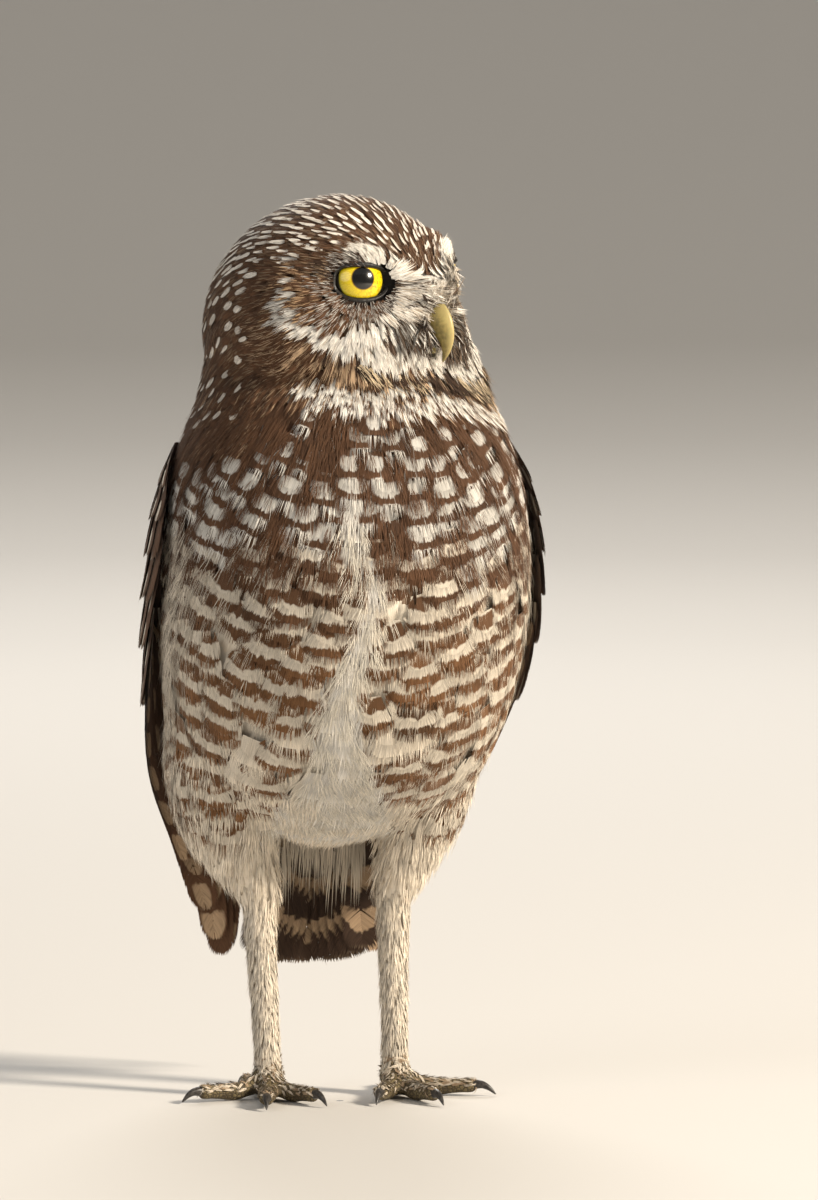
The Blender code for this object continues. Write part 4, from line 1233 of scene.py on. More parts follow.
# Loose pale barbs part to both sides of the pale line and hang from the end of the belly.
off_line = np.abs(form_points[:, 0] - parting_line(form_heights))
pale = (off_line < 0.0042) & (form_heights > 0.104) & (form_heights < 0.160)
pale &= form_points[:, 1] < 0
in_white = (in_wedge(form_heights, form_points[:, 0]) > 0) & (form_heights < 0.130)
pale |= in_white & (form_points[:, 1] < 0.01)
pale &= form_heights > BODY_END
roots = form_points[pale]
roots = roots[np.sort(draw.permutation(len(roots))[:400])]
_, out = on_form(roots)
part = (roots[:, 0] - along_rows(PARTING, roots[:, 2])) / 0.004
ways = lie(roots, out) + np.array([1.0, 0, 0]) * (0.50 * np.tanh(part))[:, None]
low = steps(-roots[:, 2], -0.086, -0.076)
stand = 0.04 + 0.30 * low * draw.random(len(roots))
hairs("pale_barbs", 25, roots, ways, stand, long=0.0085, wide=0.045,
      colour=WHITE * (1.03, 1.0, 0.93), slot="pale_plumage", nodes=("torso",))

# Brown ones comb down over the brown feathers of the upper breast, between the white spots.
draw = np.random.default_rng(26)
brown = (form_heights > 0.146) & (form_heights < 0.196) & (form_turns < 100)
brown &= head_angles(form_points)[1] < -24
roots = form_points[brown & ~under_wing(form_points, 0.0)]
roots = roots[np.sort(draw.choice(len(roots), 1900, replace=False))]
_, out = on_form(roots)
halfway = roots + lie(roots, out) * 0.0045
spots = np.concatenate(spot_middles)
apart = np.min([np.linalg.norm(halfway - spot, axis=1) for spot in spots], axis=0)
roots, out = roots[apart > SPOT_REACH], out[apart > SPOT_REACH]
stand = np.full(len(roots), 0.03)
hairs("brown_barbs", 27, roots, lie(roots, out), stand, long=0.0080, wide=0.050,
      colour=BROWN * 1.25, slot="brown_plumage", nodes=("torso", "neck"))


# ------------------------------------------------------------------ feathers of the head
# The head wears small feathers that turn hair-like on the face. The crown is brown with pale
# streaks, brows, cheeks and chin are white, and the ear coverts are streaked brown.

GREY_BROWN = np.array((0.17, 0.115, 0.078))
# Edges on the head, in degrees round from straight ahead and degrees up: below the brow, above
# the white cheek, between cheek and throat, and above and below the white collar.
BROW_FOOT = ((0, 18), (4, 21), (10, 23.5), (17, 25.7), (26, 28), (34, 32.5), (46, 36.5), (62, 36))
CHEEK_TOP = ((0, -8), (12, -6), (24, -3), (32, 4), (42, 1.5), (51, -1), (60, 1), (73, 6.5),
             (84, 13))
THROAT_LINE = ((0, -18), (9, -19), (27, -20), (47, -12), (66, -4), (84, 3), (92, 6))
COLLAR_TOP = ((0, -23.5), (26, -26), (50, -24), (71, -22), (90, -19))
COLLAR_FOOT = ((0, -28), (27, -30.5), (47, -29.5), (68, -27), (78, -24.5), (90, -20))


def eye_distance(places):
    apart = [np.linalg.norm(places - middle, axis=1) for middle in eye_points.values()]
    return np.min(apart, axis=0)


def bill_distance(places):
    return np.linalg.norm(places - np.array(BILL_ROOT), axis=1)


def on_lids(places):
    return steps(-eye_distance(places), -LID_SPHERE - 0.0016, -LID_SPHERE - 0.0006)


def blotches(places, size):
    """A soft mottle from -1 to 1 in patches of about this size."""
    a, b, c = (places * (math.pi / size)).T
    return np.sin(a + 1.7 * np.sin(b)) * np.sin(0.9 * b + 1.1 * c + 1.3 * np.sin(a))


def head_spacing(places):
    around, up = head_angles(places)
    back = steps(np.abs(around), 80, 125)
    spacing = 0.00122 + 0.0008 * steps(up, 38, 50) + 0.0013 * back
    near = on_lids(places)
    spacing = spacing * (1 - near) + 0.00085 * near
    bill = steps(-bill_distance(places), -0.012, -0.006)
    return spacing * (1 - bill) + 0.00105 * bill


def head_paint(places, draw):
    """The colours and marks of the feathers of the head, with painted shade by the bill and throat.
    """
    around, up = head_angles(places)
    side, count = np.abs(around), len(places)
    brow, foot, cheek_top, throat, collar_top, collar_foot = (
        along_rows(edge, side)
        for edge in (BROW_LINE, BROW_FOOT, CHEEK_TOP, THROAT_LINE, COLLAR_TOP, COLLAR_FOOT)
    )
    brow = brow + 5.0 * hill(around, 20, 11)
    wild = draw.normal(0, 1, count)

    ground = BROWN * draw.normal(0.9, 0.12, (count, 1))
    mark = np.tile(BUFF * 0.6, (count, 1))
    mixed = np.full(count, 0.18)  # the share of a feather's strands that have its mark's colour
    crown = up > brow + 0.8 * wild

    def paint(where, colour, other, share, spread=0.07):
        """Gives feathers a ground colour, and a share of their strands another colour."""
        where = where > draw.random(count)
        tint = draw.normal(1, spread, (count, 1))
        ground[where] = (colour * tint)[where]
        mark[where] = other
        mixed[where] = share

    pale = WHITE * 0.78
    face = steps(-side, -88, -82) * ~crown
    tawny = BUFF * (1.25, 1.2, 1.1)
    paint(face, BROWN, tawny, 0.30, 0.14)
    paint(face * steps(-side, -74, -60), BROWN * 1.15, pale * 0.9, 0.30, 0.16)
    paint(face * steps(-side, -58, -42) * steps(-up, -11, -4), GREY_BROWN, pale, 0.42, 0.12)
    paint(face * hill(side, 62, 11) * hill(up, 30, 5), DARK_BROWN, BUFF, 0.25, 0.12)
    lores = steps(-side, -32, -26) * steps(up, -9, -5) * steps(foot - up, -1, 1) * ~crown
    paint(lores, pale, DARK_BROWN, 0.55)  # between eye and bill
    band = steps(brow - up, -0.8, 0.8) * steps(up - foot, -1, 1) * steps(-side, -63, -56)
    paint(band, WHITE, BUFF, 0.03, 0.03)  # the brow
    paint(on_lids(places) * steps(foot - up, -2, 0), DARK_BROWN, pale, 0.30, 0.2)
    cheek = face * steps(up - throat, -0.8, 0.8) * steps(cheek_top - up, -1.5, 1.5)
    paint(cheek * steps(-side, -80, -72), WHITE, BUFF, 0.05, 0.03)
    # Dark bristles beside the bill, painted darker still as the shade that falls there.
    gape_bristles_and_shade = hill(side, 17, 10) * hill(up, 0, 7) * 1.5
    paint(gape_bristles_and_shade, DARK_BROWN, GREY_BROWN, 0.35)
    edge = hill(side, 81, 5) * hill(up, 7, 11) * 1.3
    paint(edge, pale, GREY_BROWN, 0.22)  # behind the ear coverts
    under = steps(-side, -98, -90) * steps(throat - up, -0.8, 0.8)
    patch = steps(blotches(places, 0.0062), -0.35, 0.25)
    paint(under, BROWN * 0.95, BUFF, 0.24, 0.15)
    paint(under * patch * steps(-side, -82, -62), BUFF * 1.15, BROWN, 0.26, 0.12)
    # Painted shade in the crease under the white cheek's edge, over the dark brown feathers there.
    crease = under * hill(throat - up, 2.6, 2.2) * steps(-side, -62, -54) * 1.3
    paint(crease, DARK_BROWN, BUFF, 0.1)
    collar = steps(collar_top - up, -1, 1.5) * steps(-side, -88, -76)
    paint(collar, WHITE * 0.96, BUFF, 0.10, 0.05)
    paint(steps(collar_foot - 0.3 - up, -1.0, 1.0), BROWN, BUFF, 0.12, 0.12)
    return {"ground": ground, "mark": mark, "mixed": mixed}


def head_coat(name, chosen, seed, barbs, web):
    draw = np.random.default_rng(seed)
    places, spacing = head_roots[chosen], head_gaps[chosen]
    _, out = on_form(places)
    count = len(places)
    ways = ruffled(lie(places, out), out, 0.13, draw)
    around, up = head_angles(places)
    side = np.abs(around)
    face = steps(-side, -94, -82) * steps(-up, -43, -37)
    rim = on_lids(places)
    throat, collar = along_rows(THROAT_LINE, side), along_rows(COLLAR_FOOT, side)
    fringe = hill(up - throat, 3.0, 3.0) * steps(-side, -62, -50)
    fringe = np.maximum(fringe, hill(up - collar, 2.5, 3.0) * steps(-side, -88, -76))
    brow = hill(up, along_rows(BROW_LINE, side) - 4, 5) * steps(-side, -60, -48)
    front = hill(side, 20, 20) * hill(up, along_rows(BROW_LINE, side) - 3, 5)
    length = spacing * (3.2 + 1.2 * face) * draw.uniform(0.8, 1.2, count)
    length = length * (1 + 0.5 * fringe + 0.25 * brow) * (1 - 0.15 * rim)
    width = spacing * (1.75 - 0.35 * face) * draw.uniform(0.9, 1.1, count)
    lift = 0.0001 + 0.0002 * face + 0.0007 * fringe + 0.0005 * brow
    tract = {
        "root": places, "way": ways, "length": length, "width": width, "pitch": length * 0.55,
        "sink": 0.0010 - 0.0004 * face - 0.0003 * rim,
        "lift": lift + 0.0008 * front * (1 + (around > 8)),
        "camber": 0.0002, "barbs": barbs, "loose": 0.45 + 0.55 * face,
        "stations": (0, 0.55, 1), "blade": 0.42, "tile": 0.00001, "flutter": 0.00009,
        "slant": 0.60, "first": 0.02, "straight": 0.30, "fan": 0.5, "taper": 2.6,
        "web": web, "web_end": web, "web_columns": 3, "ragged": 0.5,
    }
    tract.update(head_paint(places + ways * (length * 0.7)[:, None], draw))
    return coat(name, tract, plumage, "brown_plumage", seed, "head", "neck")


def lid_places(draw, count=4200):
    """Places on the lids, outside their bare rims."""
    found = []
    for sign, middle in eye_points.items():
        angle = draw.uniform(0, 2 * math.pi, count)
        tilt = np.radians(draw.uniform(20, 68, count))
        edge = np.array([math.asin(lid_opening(a, sign) / LID_SPHERE) for a in angle])
        corner = np.clip(-np.cos(angle) * sign, 0, 1) ** 4
        rim = 6.0 - 2.5 * np.clip(np.sin(angle), 0, 1) + 15 * corner
        outside = tilt > edge + np.radians(rim)
        x, y = np.cos(angle) * np.sin(tilt), np.sin(angle) * np.sin(tilt)
        ways = np.stack([x, y, np.cos(tilt)], 1)[outside]
        found.append(ways @ np.array(eye_axes(sign)).T * LID_SPHERE + middle)
    return np.concatenate(found)


draw = np.random.default_rng(31)
around, up = head_angles(form_points)
lowest = along_rows(COLLAR_FOOT, np.abs(around)) + 3.5 - 30 * steps(np.abs(around), 76, 96)
on_head = (form_heights > 0.180) & (up > lowest)
on_head &= ~over_lids(form_points, 1) & ~over_lids(form_points, -1)
in_bill = (form_points - np.array(BILL_ROOT)) @ forward > 0.0015
on_head &= ~(in_bill & (bill_distance(form_points) < 0.0060))
head_roots = np.concatenate([form_points[on_head], lid_places(draw)])
head_roots = head_roots + draw.normal(0, 0.00015, head_roots.shape)
head_gaps = head_spacing(head_roots)
picked = scatter(head_roots, head_gaps, draw)
head_roots, head_gaps = head_roots[picked], head_gaps[picked]
around, up = head_angles(head_roots)
on_face = (np.abs(around) < 94) & (up < along_rows(BROW_LINE, np.abs(around)) + 1)
on_left = around > 0
head_coat("coat_face_left", on_face & on_left, 32, 10, 0.62)
head_coat("coat_face_right", on_face & ~on_left, 33, 10, 0.62)
head_coat("coat_crown", ~on_face & (up >= 20), 34, 12, 0.78)
head_coat("coat_nape", ~on_face & (up < 20), 35, 16, 0.82)


# ------------------------------------------------------------------ streaks of the crown
# White pointed streaks run back over the crown in loose rows, each along the shaft of a brown
# feather. They grow wider, shorter and farther apart on the nape, and are painted darker there
# as painted shade.

draw = np.random.default_rng(36)
around, up = head_angles(form_points)
side = np.abs(around)
streaked = (form_heights > 0.186) & ((up > along_rows(BROW_LINE, side) + 1.5) | (side > 94))
candidates = form_points[streaked]
_, out = on_form(candidates)
ways = lie(candidates, out)
back = steps(-head_angles(candidates)[1], -36, -12)
spacing = 0.0020 + 0.0013 * back
picked = scatter(candidates, spacing, draw, ways, 2.0)
roots, ways, back = candidates[picked], ways[picked], back[picked]
count = len(roots)
# Towards the nape the streaks are painted darker, as painted shade.
pale = WHITE * draw.uniform(0.70, 1.0, (count, 1)) * (1 - 0.25 * back[:, None])
coat("coat_streaks", {
    "root": roots, "way": ways, "length": (0.0047 - 0.0012 * back) * draw.uniform(0.7, 1.15, count),
    "width": (0.0009 + 0.0009 * back) * draw.uniform(0.55, 1.25, count), "pitch": np.ones(count),
    "sink": 0.0003, "lift": 0.0004, "camber": 0.0001, "barbs": 4, "loose": 0.3,
    "stations": (0, 0.35, 0.7, 1), "blade": 0.60, "flutter": 0.00004, "slant": 0.80, "first": 0.0,
    "straight": 0.35, "shoulder": 0.60, "fan": 0.15, "taper": 2.0, "ground": pale, "mark": pale,
}, plumage, "brown_plumage", 37, "head", "neck")


# ------------------------------------------------------------------ bristles of the face
# White tufts stand up between the eyes and over their inner corners. Stiff hair-like feathers,
# grey-white and dark brown, fan from those corners forward over the root of the bill. A few
# straw-coloured and dark ones lie along the crease of the throat.

def up_the_brow(roots, out):
    return lie(roots, out) + out * 0.10


def over_the_bill(roots, out):
    eyes = np.array(list(eye_points.values()))
    right = head_angles(roots)[0] < 0
    ways = unit(roots - eyes[right.astype(int)]) * 0.6 + forward * 0.7
    ways = ways + leftward * np.where(right, -0.25, 0.25)[:, None]
    high = steps(head_angles(roots)[1], 12, 24)[:, None]
    return unit(ways + np.array([0, 0, -0.50]) * (1 - 0.8 * high)) + out * (0.40 + 0.35 * high)


def down_the_throat(roots, out):
    return lie(roots, out) + forward * 0.7 + out * 0.2


def out_from_face(roots, out):
    ways = forward * 0.8 + leftward * 0.25
    return unit(ways + np.array([0, 0, -0.30]) + lie(roots, out) * 0.5) + out * 0.45


def dark_dye(roots, draw):
    ground = GREY_BROWN * draw.uniform(0.35, 0.9, (len(roots), 1))
    return ground, ground * 0.5


def white_dye(roots, draw):
    ground = WHITE * draw.uniform(0.85, 1.02, (len(roots), 1))
    return ground, ground * np.array((0.8, 0.7, 0.6))


def streaked_dye(roots, draw):
    around, up = head_angles(roots)
    low = np.maximum(steps(-up, -18, -8), steps(np.abs(around), 17, 24))
    near = steps(-eye_distance(roots), -0.0150, -0.0125)
    dark = (draw.random(len(roots)) < 0.50 + 0.42 * np.maximum(low, near))[:, None]
    ground = np.where(dark, GREY_BROWN * 0.36, WHITE * 0.9)
    return ground, np.where(dark, WHITE * 0.4, DARK_BROWN)


def straw_dye(roots, draw):
    straw = WHITE * (0.88, 0.74, 0.54) * draw.uniform(0.75, 1.05, (len(roots), 1))
    dark = (draw.random(len(roots)) < 0.55)[:, None]
    return np.where(dark, DARK_BROWN * 0.5, straw), straw


around, up = head_angles(form_points)
side = np.abs(around)
crease, foot = along_rows(THROAT_LINE, side), along_rows(BROW_FOOT, side)
folded = (side > 10) & (side < 46) & (up > crease - 0.6) & (up < crease + 2.4)
clear = eye_distance(form_points) > 0.0116  # clear of the lids
between_eyes = clear & (side < 34) & (up > 11)
between_eyes &= up < along_rows(BROW_LINE, side) - 9 + 4 * hill(around, 22, 12)
far_brow = clear & (around > 12) & (around < 40) & (up > 16) & (up < foot + 6)
inner = clear & (side > 7) & (side < 27) & (up > 5) & (up < foot - 1)  # the eyes' inner corners
far_face = clear & (around > 6) & (around < 30) & (up > -2) & (up < foot)
# Each kind of tuft: where it grows, how many, the way they point and their dye, how long and wide
# each is, how many barbs it has and how wide they are, and how far its tip stands up.
TUFTS = {
    "throat_tufts": (41, folded, 150, down_the_throat, straw_dye, 0.0058, 0.0008, 3, 0.14, 0.0011),
    "brow_tufts": (40, between_eyes, 380, up_the_brow, white_dye, 0.0056, 0.0014, 8, 0.26, 0.0016),
    "far_brow_tufts": (42, far_brow, 260, out_from_face, white_dye, 0.0080, 0.0014, 6, 0.22, 0.001),
    "lores": (38, inner, 460, over_the_bill, streaked_dye, 0.0078, 0.0009, 4, 0.13, 0.0008),
    "far_bristles": (43, far_face, 240, out_from_face, dark_dye, 0.0100, 0.0010, 3, 0.09, 0.0010),
    "face_bristles": (39, inner, 130, over_the_bill, streaked_dye, 0.0120, 0.0010, 2, 0.08, 0.0022),
}
for name, (seed, zone, most, way_of, dye_of, long, wide, barbs, blade, lift) in TUFTS.items():
    draw = np.random.default_rng(seed)
    roots = form_points[np.sort(draw.permutation(np.flatnonzero(zone))[:most])]
    count = len(roots)
    _, out = on_form(roots)
    ways = unit(way_of(roots, out) + draw.normal(0, 0.10, (count, 3)))
    length = long * draw.uniform(0.75, 1.15, count)
    ground, mark = dye_of(roots, draw)
    coat(name, {
        "root": roots, "way": ways, "length": length, "width": np.full(count, wide),
        "pitch": length, "lift": lift, "barbs": barbs, "loose": 0.9,
        "stations": (0, 0.4, 0.75, 1), "blade": blade, "flutter": 0.0002, "slant": 0.80,
        "first": 0.0, "follow": 0.35, "obey": 0.0, "fan": 0.4, "web": 0.3, "web_end": 0.5,
        "web_columns": 3, "ground": ground, "mark": mark, "mixed": np.full(count, 0.3),
    }, plumage, "brown_plumage", seed, "head")


# ------------------------------------------------------------------ feathers of the legs
# Thighs wear long loose cream feathers that end in a soft fringe below the belly, and the
# lower legs wear short hair-like ones that thin out into bristles over the toes.

def leg_coat(name, places, spacing, long, wide, habit, seed, *nodes):
    draw = np.random.default_rng(seed)
    _, out = on_form(places)
    count = len(places)
    ways = ruffled(lie(places, out), out, 0.10, draw)
    length = long * draw.uniform(0.85, 1.15, count)
    width = wide * draw.uniform(0.9, 1.1, count)
    ground = CREAM * draw.normal(1, 0.06, (count, 1))
    marks = np.zeros((count, 3))
    outer = np.abs(places[:, 0]) > 0.024
    marks[:, 1] = (places[:, 2] > 0.082) & outer & (draw.random(count) < 0.35)
    tract = {
        "root": places, "way": ways, "length": length, "width": width,
        "pitch": np.full(count, spacing * 2.0),
        "ground": ground, "mark": np.tile(RUFOUS, (count, 1)), "marks": marks, "loose": 1.0,
        "slant": 0.70, "ragged": 0.6, "first": 0.0, "fan": 0.5, "taper": 2.6, "web_columns": 3,
        **habit,
    }
    return coat(name, tract, plumage, "pale_plumage", seed, *nodes)


THIGH_TOP = 0.100
THIGH_END = 0.052
THIGH_SPACING = 0.0030  # how far apart the roots of feathers stand
SHANK_SPACING = 0.0013
TOE_SPACING = 0.0011
for side, sign in SIDES:
    own = (form_heights < THIGH_TOP) & (form_points[:, 0] * sign > 0)
    inside = np.abs(form_points[:, 0]) < 0.0105
    thigh = own & (form_heights > THIGH_END) & ~(inside & (form_heights > 0.075))
    thigh &= (form_heights < 0.086) | (form_turns > 60)
    draw = np.random.default_rng(41 + sign)
    roots = form_points[thigh]
    roots = roots[scatter(roots, THIGH_SPACING, draw)]
    low = steps(-roots[:, 2], -0.075, -0.060)
    leg_coat(
        "coat_thigh_" + side, roots, THIGH_SPACING, 0.0105 - 0.0025 * low,
        0.0050 - 0.0016 * low, {
            "sink": 0.0014, "lift": 0.0004 + 0.0004 * low, "camber": 0.0004, "barbs": 16,
            "stations": (0, 0.45, 0.8, 1), "blade": 0.50, "tile": 0.00002, "flutter": 0.00020,
            "follow": 0.85 - 0.5 * low, "web": 0.7, "web_end": 0.6,
        }, 43 + sign, "thigh_" + side, "torso",
    )
    shank = own & (form_heights < THIGH_END + 0.001) & (form_heights > 0.0085)
    roots = form_points[shank]
    roots = roots[scatter(roots, SHANK_SPACING, draw)]
    leg_coat(
        "coat_shank_" + side, roots, SHANK_SPACING, 0.0056, 0.0016, {
            "sink": 0.0007, "lift": 0.0001, "camber": 0.0001, "barbs": 6, "stations": (0, 0.5, 1),
            "blade": 0.40, "tile": 0.00001, "flutter": 0.00014, "follow": 0.95,
            "web": 0.5, "web_end": 0.5,
        }, 45 + sign, "shank_" + side, "foot_" + side,
    )


# Sparse pale bristles stand on the backs of the toes.
draw = np.random.default_rng(48)
on_toes = (form_heights < BARE_FOOT) & (form_heights > 0.0030) & (form_normals[:, 2] > -0.1)
roots = form_points[on_toes]
roots = roots[scatter(roots, TOE_SPACING, draw)]
count = len(roots)
ankles = np.array([list(box_middle("shank_" + side)) for side, _ in SIDES])
ankles = ankles[(roots[:, 0] < 0).astype(int)] * (1, 1, 0)
ways = unit((roots - ankles) * (1, 1, 0)) + np.array([0, 0, 0.15])
ways = unit(ways + draw.normal(0, 0.25, (count, 3)))
bristle_colour = np.where(draw.random((count, 1)) < 0.7, CREAM * 0.8, BUFF * 0.6)
coat("toe_bristles", {
    "root": roots, "way": ways, "length": draw.uniform(0.0022, 0.0042, count),
    "width": np.full(count, 0.0006), "pitch": np.ones(count), "lift": 0.0004, "barbs": 2,
    "loose": 1.0, "stations": (0, 0.5, 1), "blade": 0.13, "flutter": 0.0001, "slant": 0.80,
    "first": 0.0, "follow": 0.7, "obey": 0.0, "fan": 0.4, "web": 0.1, "web_columns": 3,
    "ground": bristle_colour, "mark": bristle_colour,
}, plumage, "pale_plumage", 49, "foot_left", "foot_right")


# ------------------------------------------------------------------ claws
# Each toe ends in a curved dark claw of horn, finely grained and shiny. The solids have their
# form, and only get a finer surface.

def claw_finish():
    material, paint, shader = new_finish("claw horn", {"Specular IOR Level": 0.5})
    grain = paint.noise(paint.place(), 1500.0, 4.0)
    dark = grain.smooth(0.3, 0.75).blend((0.014, 0.012, 0.011, 1), (0.060, 0.052, 0.045, 1))
    dark.into(shader, "Base Color")
    (0.25 + grain * 0.25).into(shader, "Roughness")
    grain.bump(0.2, 0.0001).into(shader, "Normal")
    return material


claw_horn = claw_finish()
for node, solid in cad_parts.items():
    if node.startswith("claw_"):
        solid.data.materials.clear()
        solid.data.materials.append(claw_horn)
        weld = solid.modifiers.new("weld", "WELD")
        weld.merge_threshold = 2e-6
        round_off = solid.modifiers.new("round off", "SUBSURF")
        round_off.levels = round_off.render_levels = 2
        solid.data.shade_smooth()


# ------------------------------------------------------------------ wings
# A folded wing is tiers of vanes: long primaries and secondaries whose tips close over the
# rump, three tiers of coverts over them, and small rounded feathers over the wrist.

# The surface that a folded wing lies on: height, half width, how far back its middle lies, and
# how far it stands behind that middle. The whole is set back by BED_SHIFT.
WING_BED = (
    (0.034, 0.0344, 0.0470, 0.0122), (0.046, 0.0358, 0.0424, 0.0144),
    (0.058, 0.0380, 0.0370, 0.0179), (0.072, 0.0414, 0.0310, 0.0226),
    (0.084, 0.0444, 0.0265, 0.0266), (0.094, 0.0466, 0.0225, 0.0300),
    (0.104, 0.0484, 0.0175, 0.0334), (0.117, 0.0500, 0.0110, 0.0372),
    (0.131, 0.0508, 0.0050, 0.0400), (0.145, 0.0504, 0.0010, 0.0404),
    (0.158, 0.0498, 0.0000, 0.0388), (0.170, 0.0480, 0.0000, 0.0370),
    (0.180, 0.0448, 0.0000, 0.0360),
)
BED_SHIFT = float(head_middle.y) - 0.0040
# The front and back edges of the folded wing, as turns in degrees from the breast.
WING_EDGES = (
    (0.034, 138, 153), (0.046, 135, 155), (0.058, 128, 159), (0.072, 118, 164),
    (0.084, 107, 168), (0.095, 99, 170), (0.110, 92, 168), (0.128, 85, 163),
    (0.150, 80, 154), (0.166, 82, 143), (0.178, 94, 128),
)
SQUARENESS = 2.15
WING_DROOP = {-1: 0.0022, 1: -0.0012}
# How many feathers stand side by side, and how many of them one covers to each side.
FLIGHT_CROWD = (
    (0.034, 5.8, 1.95), (0.056, 6.4, 1.70), (0.068, 7.6, 1.45), (0.078, 9.9, 1.25),
    (0.085, 12.1, 1.15), (0.092, 13.2, 1.10), (0.140, 13.4, 1.10),
)
FLIGHT_TIPS = (
    0.0620, 0.0475, 0.0390, 0.0345, 0.0360, 0.0430, 0.0530,
    0.0755, 0.0785, 0.0810, 0.0832, 0.0855, 0.0885,
)
FLIGHT_ROOT = 0.131
FLIGHT_STEP = 0.00085
# Tiers of coverts: how many, root and tip heights at the front and at the back edge, and how
# far root and tip stand off the bed.
COVERTS = (
    (12, 0.1370, 0.1330, 0.1070, 0.1045, 0.0012, 0.0030),
    (12, 0.1500, 0.1470, 0.1235, 0.1210, 0.0013, 0.0036),
    (11, 0.1590, 0.1560, 0.1370, 0.1345, 0.0013, 0.0038),
    (10, 0.1670, 0.1640, 0.1490, 0.1465, 0.0009, 0.0036),
    (9, 0.1740, 0.1720, 0.1590, 0.1570, 0.0004, 0.0030),
    (8, 0.1800, 0.1790, 0.1680, 0.1670, 0.0002, 0.0020),
)
COVERT_STEP = 0.0006
COVERT_REACH = 0.78


def columns_at(table, at):
    """The values of each column of a table at some height."""
    rows = np.array(table)
    return [np.interp(at, rows[:, 0], column) for column in rows.T[1:]]


def bed_point(across, height, lift, sign):
    """A place over a wing's bed. across runs from its front edge to its back edge."""
    width, middle, back = columns_at(WING_BED, height)
    front_edge, back_edge = columns_at(WING_EDGES, height)
    turn = math.radians(front_edge + (back_edge - front_edge) * across)
    over, along = math.sin(turn), math.cos(turn)
    power = 2 / SQUARENESS
    low = min(max((0.118 - height) / 0.036, 0), 1)
    x = over**power * (width + lift) + WING_DROOP[sign] * low * low * (3 - 2 * low)
    y = middle - math.copysign(abs(along) ** power, along) * (back + lift) + BED_SHIFT
    return np.array([sign * x, y, height])


def vane_beds(rows, sign):
    """Beds and ways out for vanes that are given as rows of front, middle and back places."""
    beds = np.array(rows)
    if sign > 0:
        beds = beds[:, :, ::-1]
    down = np.gradient(beds[:, :, 1], axis=1)
    outs = unit(np.cross(beds[:, :, 2] - beds[:, :, 0], down))
    return beds, outs


def vane_rows(count, place_at):
    """Rows of front, middle and back places down a vane. place_at takes a share and a side."""
    shares = np.linspace(0, 1, count)
    return [[place_at(share, way) for way in (-1, 0, 1)] for share in shares]


def flight_rows(rank, tip, sign):
    def place_at(share, way):
        height = FLIGHT_ROOT + (tip - FLIGHT_ROOT) * share
        crowd, reach = columns_at(FLIGHT_CROWD, height)
        across = min(max((rank + 0.5 + way * reach) / crowd, -0.03), 1.03)
        over = rank + reach - (across * crowd - 0.5)
        return bed_point(across, height, 0.0005 + FLIGHT_STEP * max(over, 0), sign)

    return vane_rows(12, place_at)


def covert_rows(rank, tier, sign):
    count, root_front, root_back, tip_front, tip_back, root_lift, tip_lift = tier
    back = rank / (count - 1)
    root = root_front + (root_back - root_front) * back
    tip = tip_front + (tip_back - tip_front) * back + 0.0008 * (rank % 2) - 0.0004

    def place_at(share, way):
        across = min(max((rank + 0.5 + way * COVERT_REACH) / count, -0.04), 1.04)
        over = COVERT_REACH * (1 - way)
        lift = root_lift + (tip_lift - root_lift) * share + COVERT_STEP * over
        return bed_point(across, root + (tip - root) * share, lift, sign)

    return vane_rows(6, place_at)


def vane_sizes(beds):
    """The length down the middle of each vane and its width half way."""
    length = np.linalg.norm(np.diff(beds[:, :, 1], axis=1), axis=2).sum(1)
    half_way = beds.shape[1] // 2
    return length, np.linalg.norm(beds[:, half_way, 2] - beds[:, half_way, 0], axis=1)


def vane_piece(name, beds, outs, colours, habit, seed, slot, *nodes):
    draw = np.random.default_rng(seed)
    length, width = vane_sizes(beds)
    count = len(beds)
    ground, mark, marks = (np.array(c) * np.ones((count, 1)) for c in colours)
    marks = marks * np.where(draw.random((count, 1)) < 0.85, draw.uniform(0.7, 1.15, (count, 1)), 0)
    mark = mark * draw.uniform(0.75, 1.1, (count, 1))
    tract = {
        "length": length, "width": width, "sink": 0.0, "lift": 0.0, "camber": 0.0004,
        "stations": (0, 0.5, 1), "blade": 0.62, "tile": 0.00003, "flutter": 0.00004,
        "loose": 0.08, "mark": mark, "marks": marks, "vary": 0.3,
        "ground": ground * draw.normal(1, 0.06, (count, 1)), "mixed": np.zeros(count), **habit,
    }
    return piece_of(name, feather_mesh(name, beds, outs, tract, draw), plumage, slot, *nodes)


for side, sign in SIDES:
    node = "wing_" + side
    rows = [flight_rows(rank, tip, sign) for rank, tip in enumerate(FLIGHT_TIPS)]
    beds, outs = vane_beds(rows, sign)
    vane_piece(
        "flight_feathers_" + side, beds, outs, (BROWN, BUFF, (0.85, 0, 0)), {
            "barbs": 120, "pitch": 0.0125, "slant": 0.09, "first": 0.01, "shoulder": 0.93,
            "straight": 0.86,
        }, 51 + sign, "brown_plumage", node,
    )
    for number, tier in enumerate(COVERTS):
        rows = [covert_rows(rank, tier, sign) for rank in range(tier[0])]
        beds, outs = vane_beds(rows, sign)
        vane_piece(
            f"coverts_{side}_{number + 1}", beds, outs, (BROWN, CREAM, (0.42, 0, 0)), {
                "barbs": 36 if number < 2 else 26, "pitch": 0.0135 - 0.0012 * number,
                "slant": 0.20, "first": 0.06, "shoulder": 0.74, "straight": 0.5, "loose": 0.15,
            }, 61 + 2 * number + sign, "brown_plumage", node,
        )


# ------------------------------------------------------------------ tail
# Twelve tail feathers lie on each other like a closed fan and slope down behind the legs. They
# are dark brown with pale bars and wear short coverts above and below. The cream of those below
# is painted darker as painted shade under the tail.

